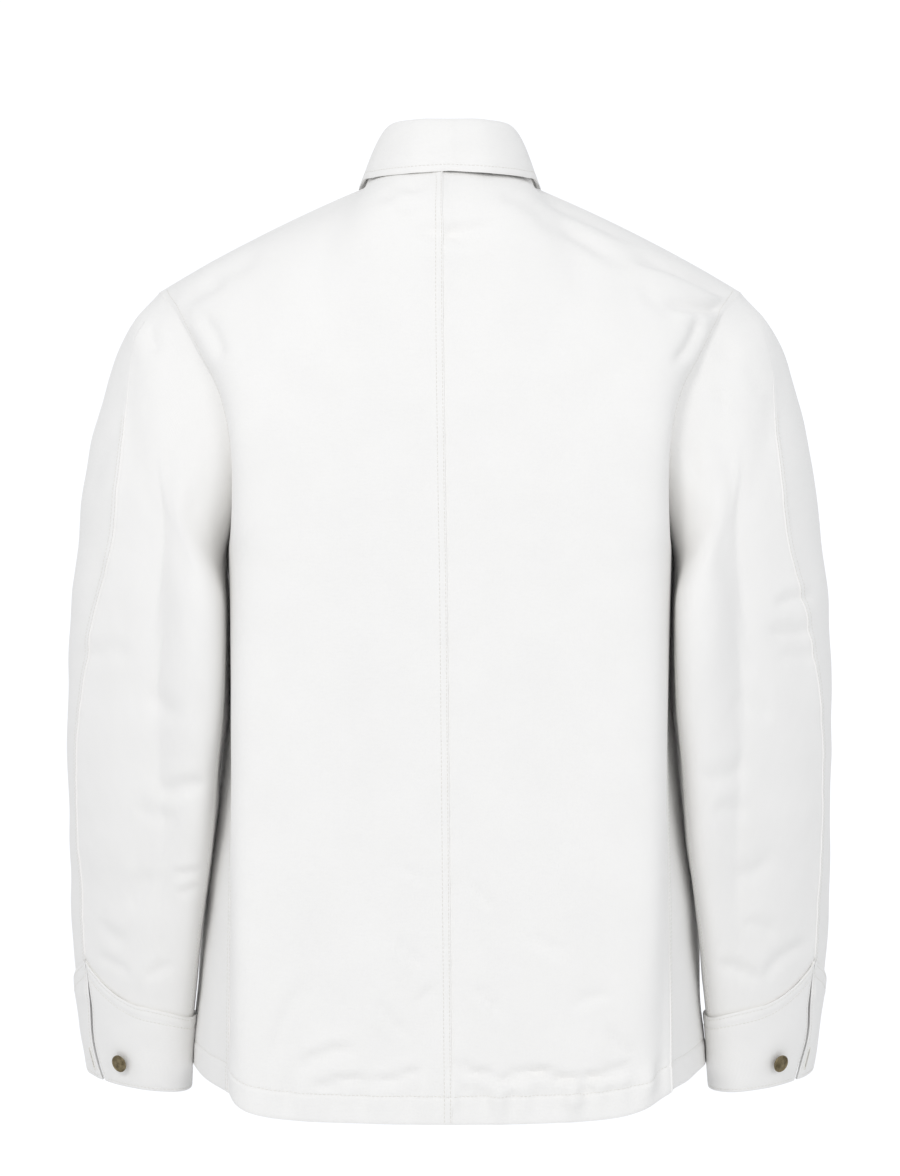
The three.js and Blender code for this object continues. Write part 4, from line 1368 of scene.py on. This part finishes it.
for side in (1, -1):
    make_panel(BACK, side)
    folded_front, front_turned = make_panel(FRONT, side)
    for pocket in POCKETS[side]:
        make_pocket(side, folded_front, front_turned, *pocket)
    make_sleeve(side)
    make_cuff(side)
make_collar()
make_buttons()


# Floor, light and camera, in metres

SKY_COLOUR = (0.955, 0.97, 1, 1)
SKY_STRENGTH = 0.78
SEEN_STRENGTH = 1.1
FLOOR_LEVEL = -1.15
FLOOR_RADIUS = 1.2
FLOOR_SIDES = 128

# The camera is level behind the jacket. Its focal length is in pixels of the image's height
CAMERA_PLACE = (0, 1.918, -0.331)
SENSOR_SIZE = 36
IMAGE_HEIGHT = 1176
FOCAL_PIXELS = 2308

# Lamps: name, place, what it aims at, width, power in watts and colour
LAMPS = [
    ("key", (1.1, 2.5, 1.1), (0, 0, -0.2), 0.8, 20, (1, 0.99, 0.985)),
    ("fill", (-1.3, 2.6, 0.3), (0, 0, -0.3), 1.2, 10, (0.99, 0.995, 1)),
]


def make_sky():
    """A soft sky that lights the jacket less than it shines into the camera."""
    world = bpy.data.worlds.new("sky")
    world.use_nodes = True
    tree = world.node_tree
    seen = tree.nodes.new("ShaderNodeLightPath").outputs["Is Camera Ray"]
    inputs = {"Value": seen, "To Min": SKY_STRENGTH, "To Max": SEEN_STRENGTH}
    strength = add_node(tree, "ShaderNodeMapRange", inputs).outputs["Result"]
    feed(tree, tree.nodes["Background"], {"Color": SKY_COLOUR, "Strength": strength})
    bpy.context.scene.world = world


def make_floor():
    mesh = bpy.data.meshes.new("floor")
    turns = np.linspace(0, 2 * math.pi, FLOOR_SIDES, endpoint=False)
    corners = [(FLOOR_RADIUS * math.cos(turn), FLOOR_RADIUS * math.sin(turn), FLOOR_LEVEL) for turn in turns]
    mesh.from_pydata(corners, [], [tuple(range(FLOOR_SIDES))])
    material, tree, shader = new_material("floor")
    feed(tree, shader, {"Base Color": (0.9, 0.9, 0.9, 1), "Roughness": 1, "Specular IOR Level": 0})
    mesh.materials.append(material)
    add_object("floor", mesh)


def add_light(name, place, aim, size, power, colour):
    """A round lamp at a place, turned to what it aims at."""
    lamp = bpy.data.lights.new(name, "AREA")
    lamp.shape = "DISK"
    lamp.size = size
    lamp.energy = power
    lamp.color = colour
    light = add_object(name, lamp)
    light.location = place
    light.rotation_euler = (Vector(aim) - Vector(place)).to_track_quat("-Z", "Y").to_euler()


def make_camera():
    lens = bpy.data.cameras.new("camera")
    lens.sensor_width = SENSOR_SIZE
    lens.lens = SENSOR_SIZE * FOCAL_PIXELS / IMAGE_HEIGHT
    camera = add_object("camera", lens)
    camera.location = CAMERA_PLACE
    camera.rotation_euler = (math.pi / 2, 0, math.pi)
    bpy.context.scene.camera = camera


bpy.context.scene.view_settings.view_transform = "Standard"
make_sky()
make_floor()
for lamp in LAMPS:
    add_light(*lamp)
make_camera()
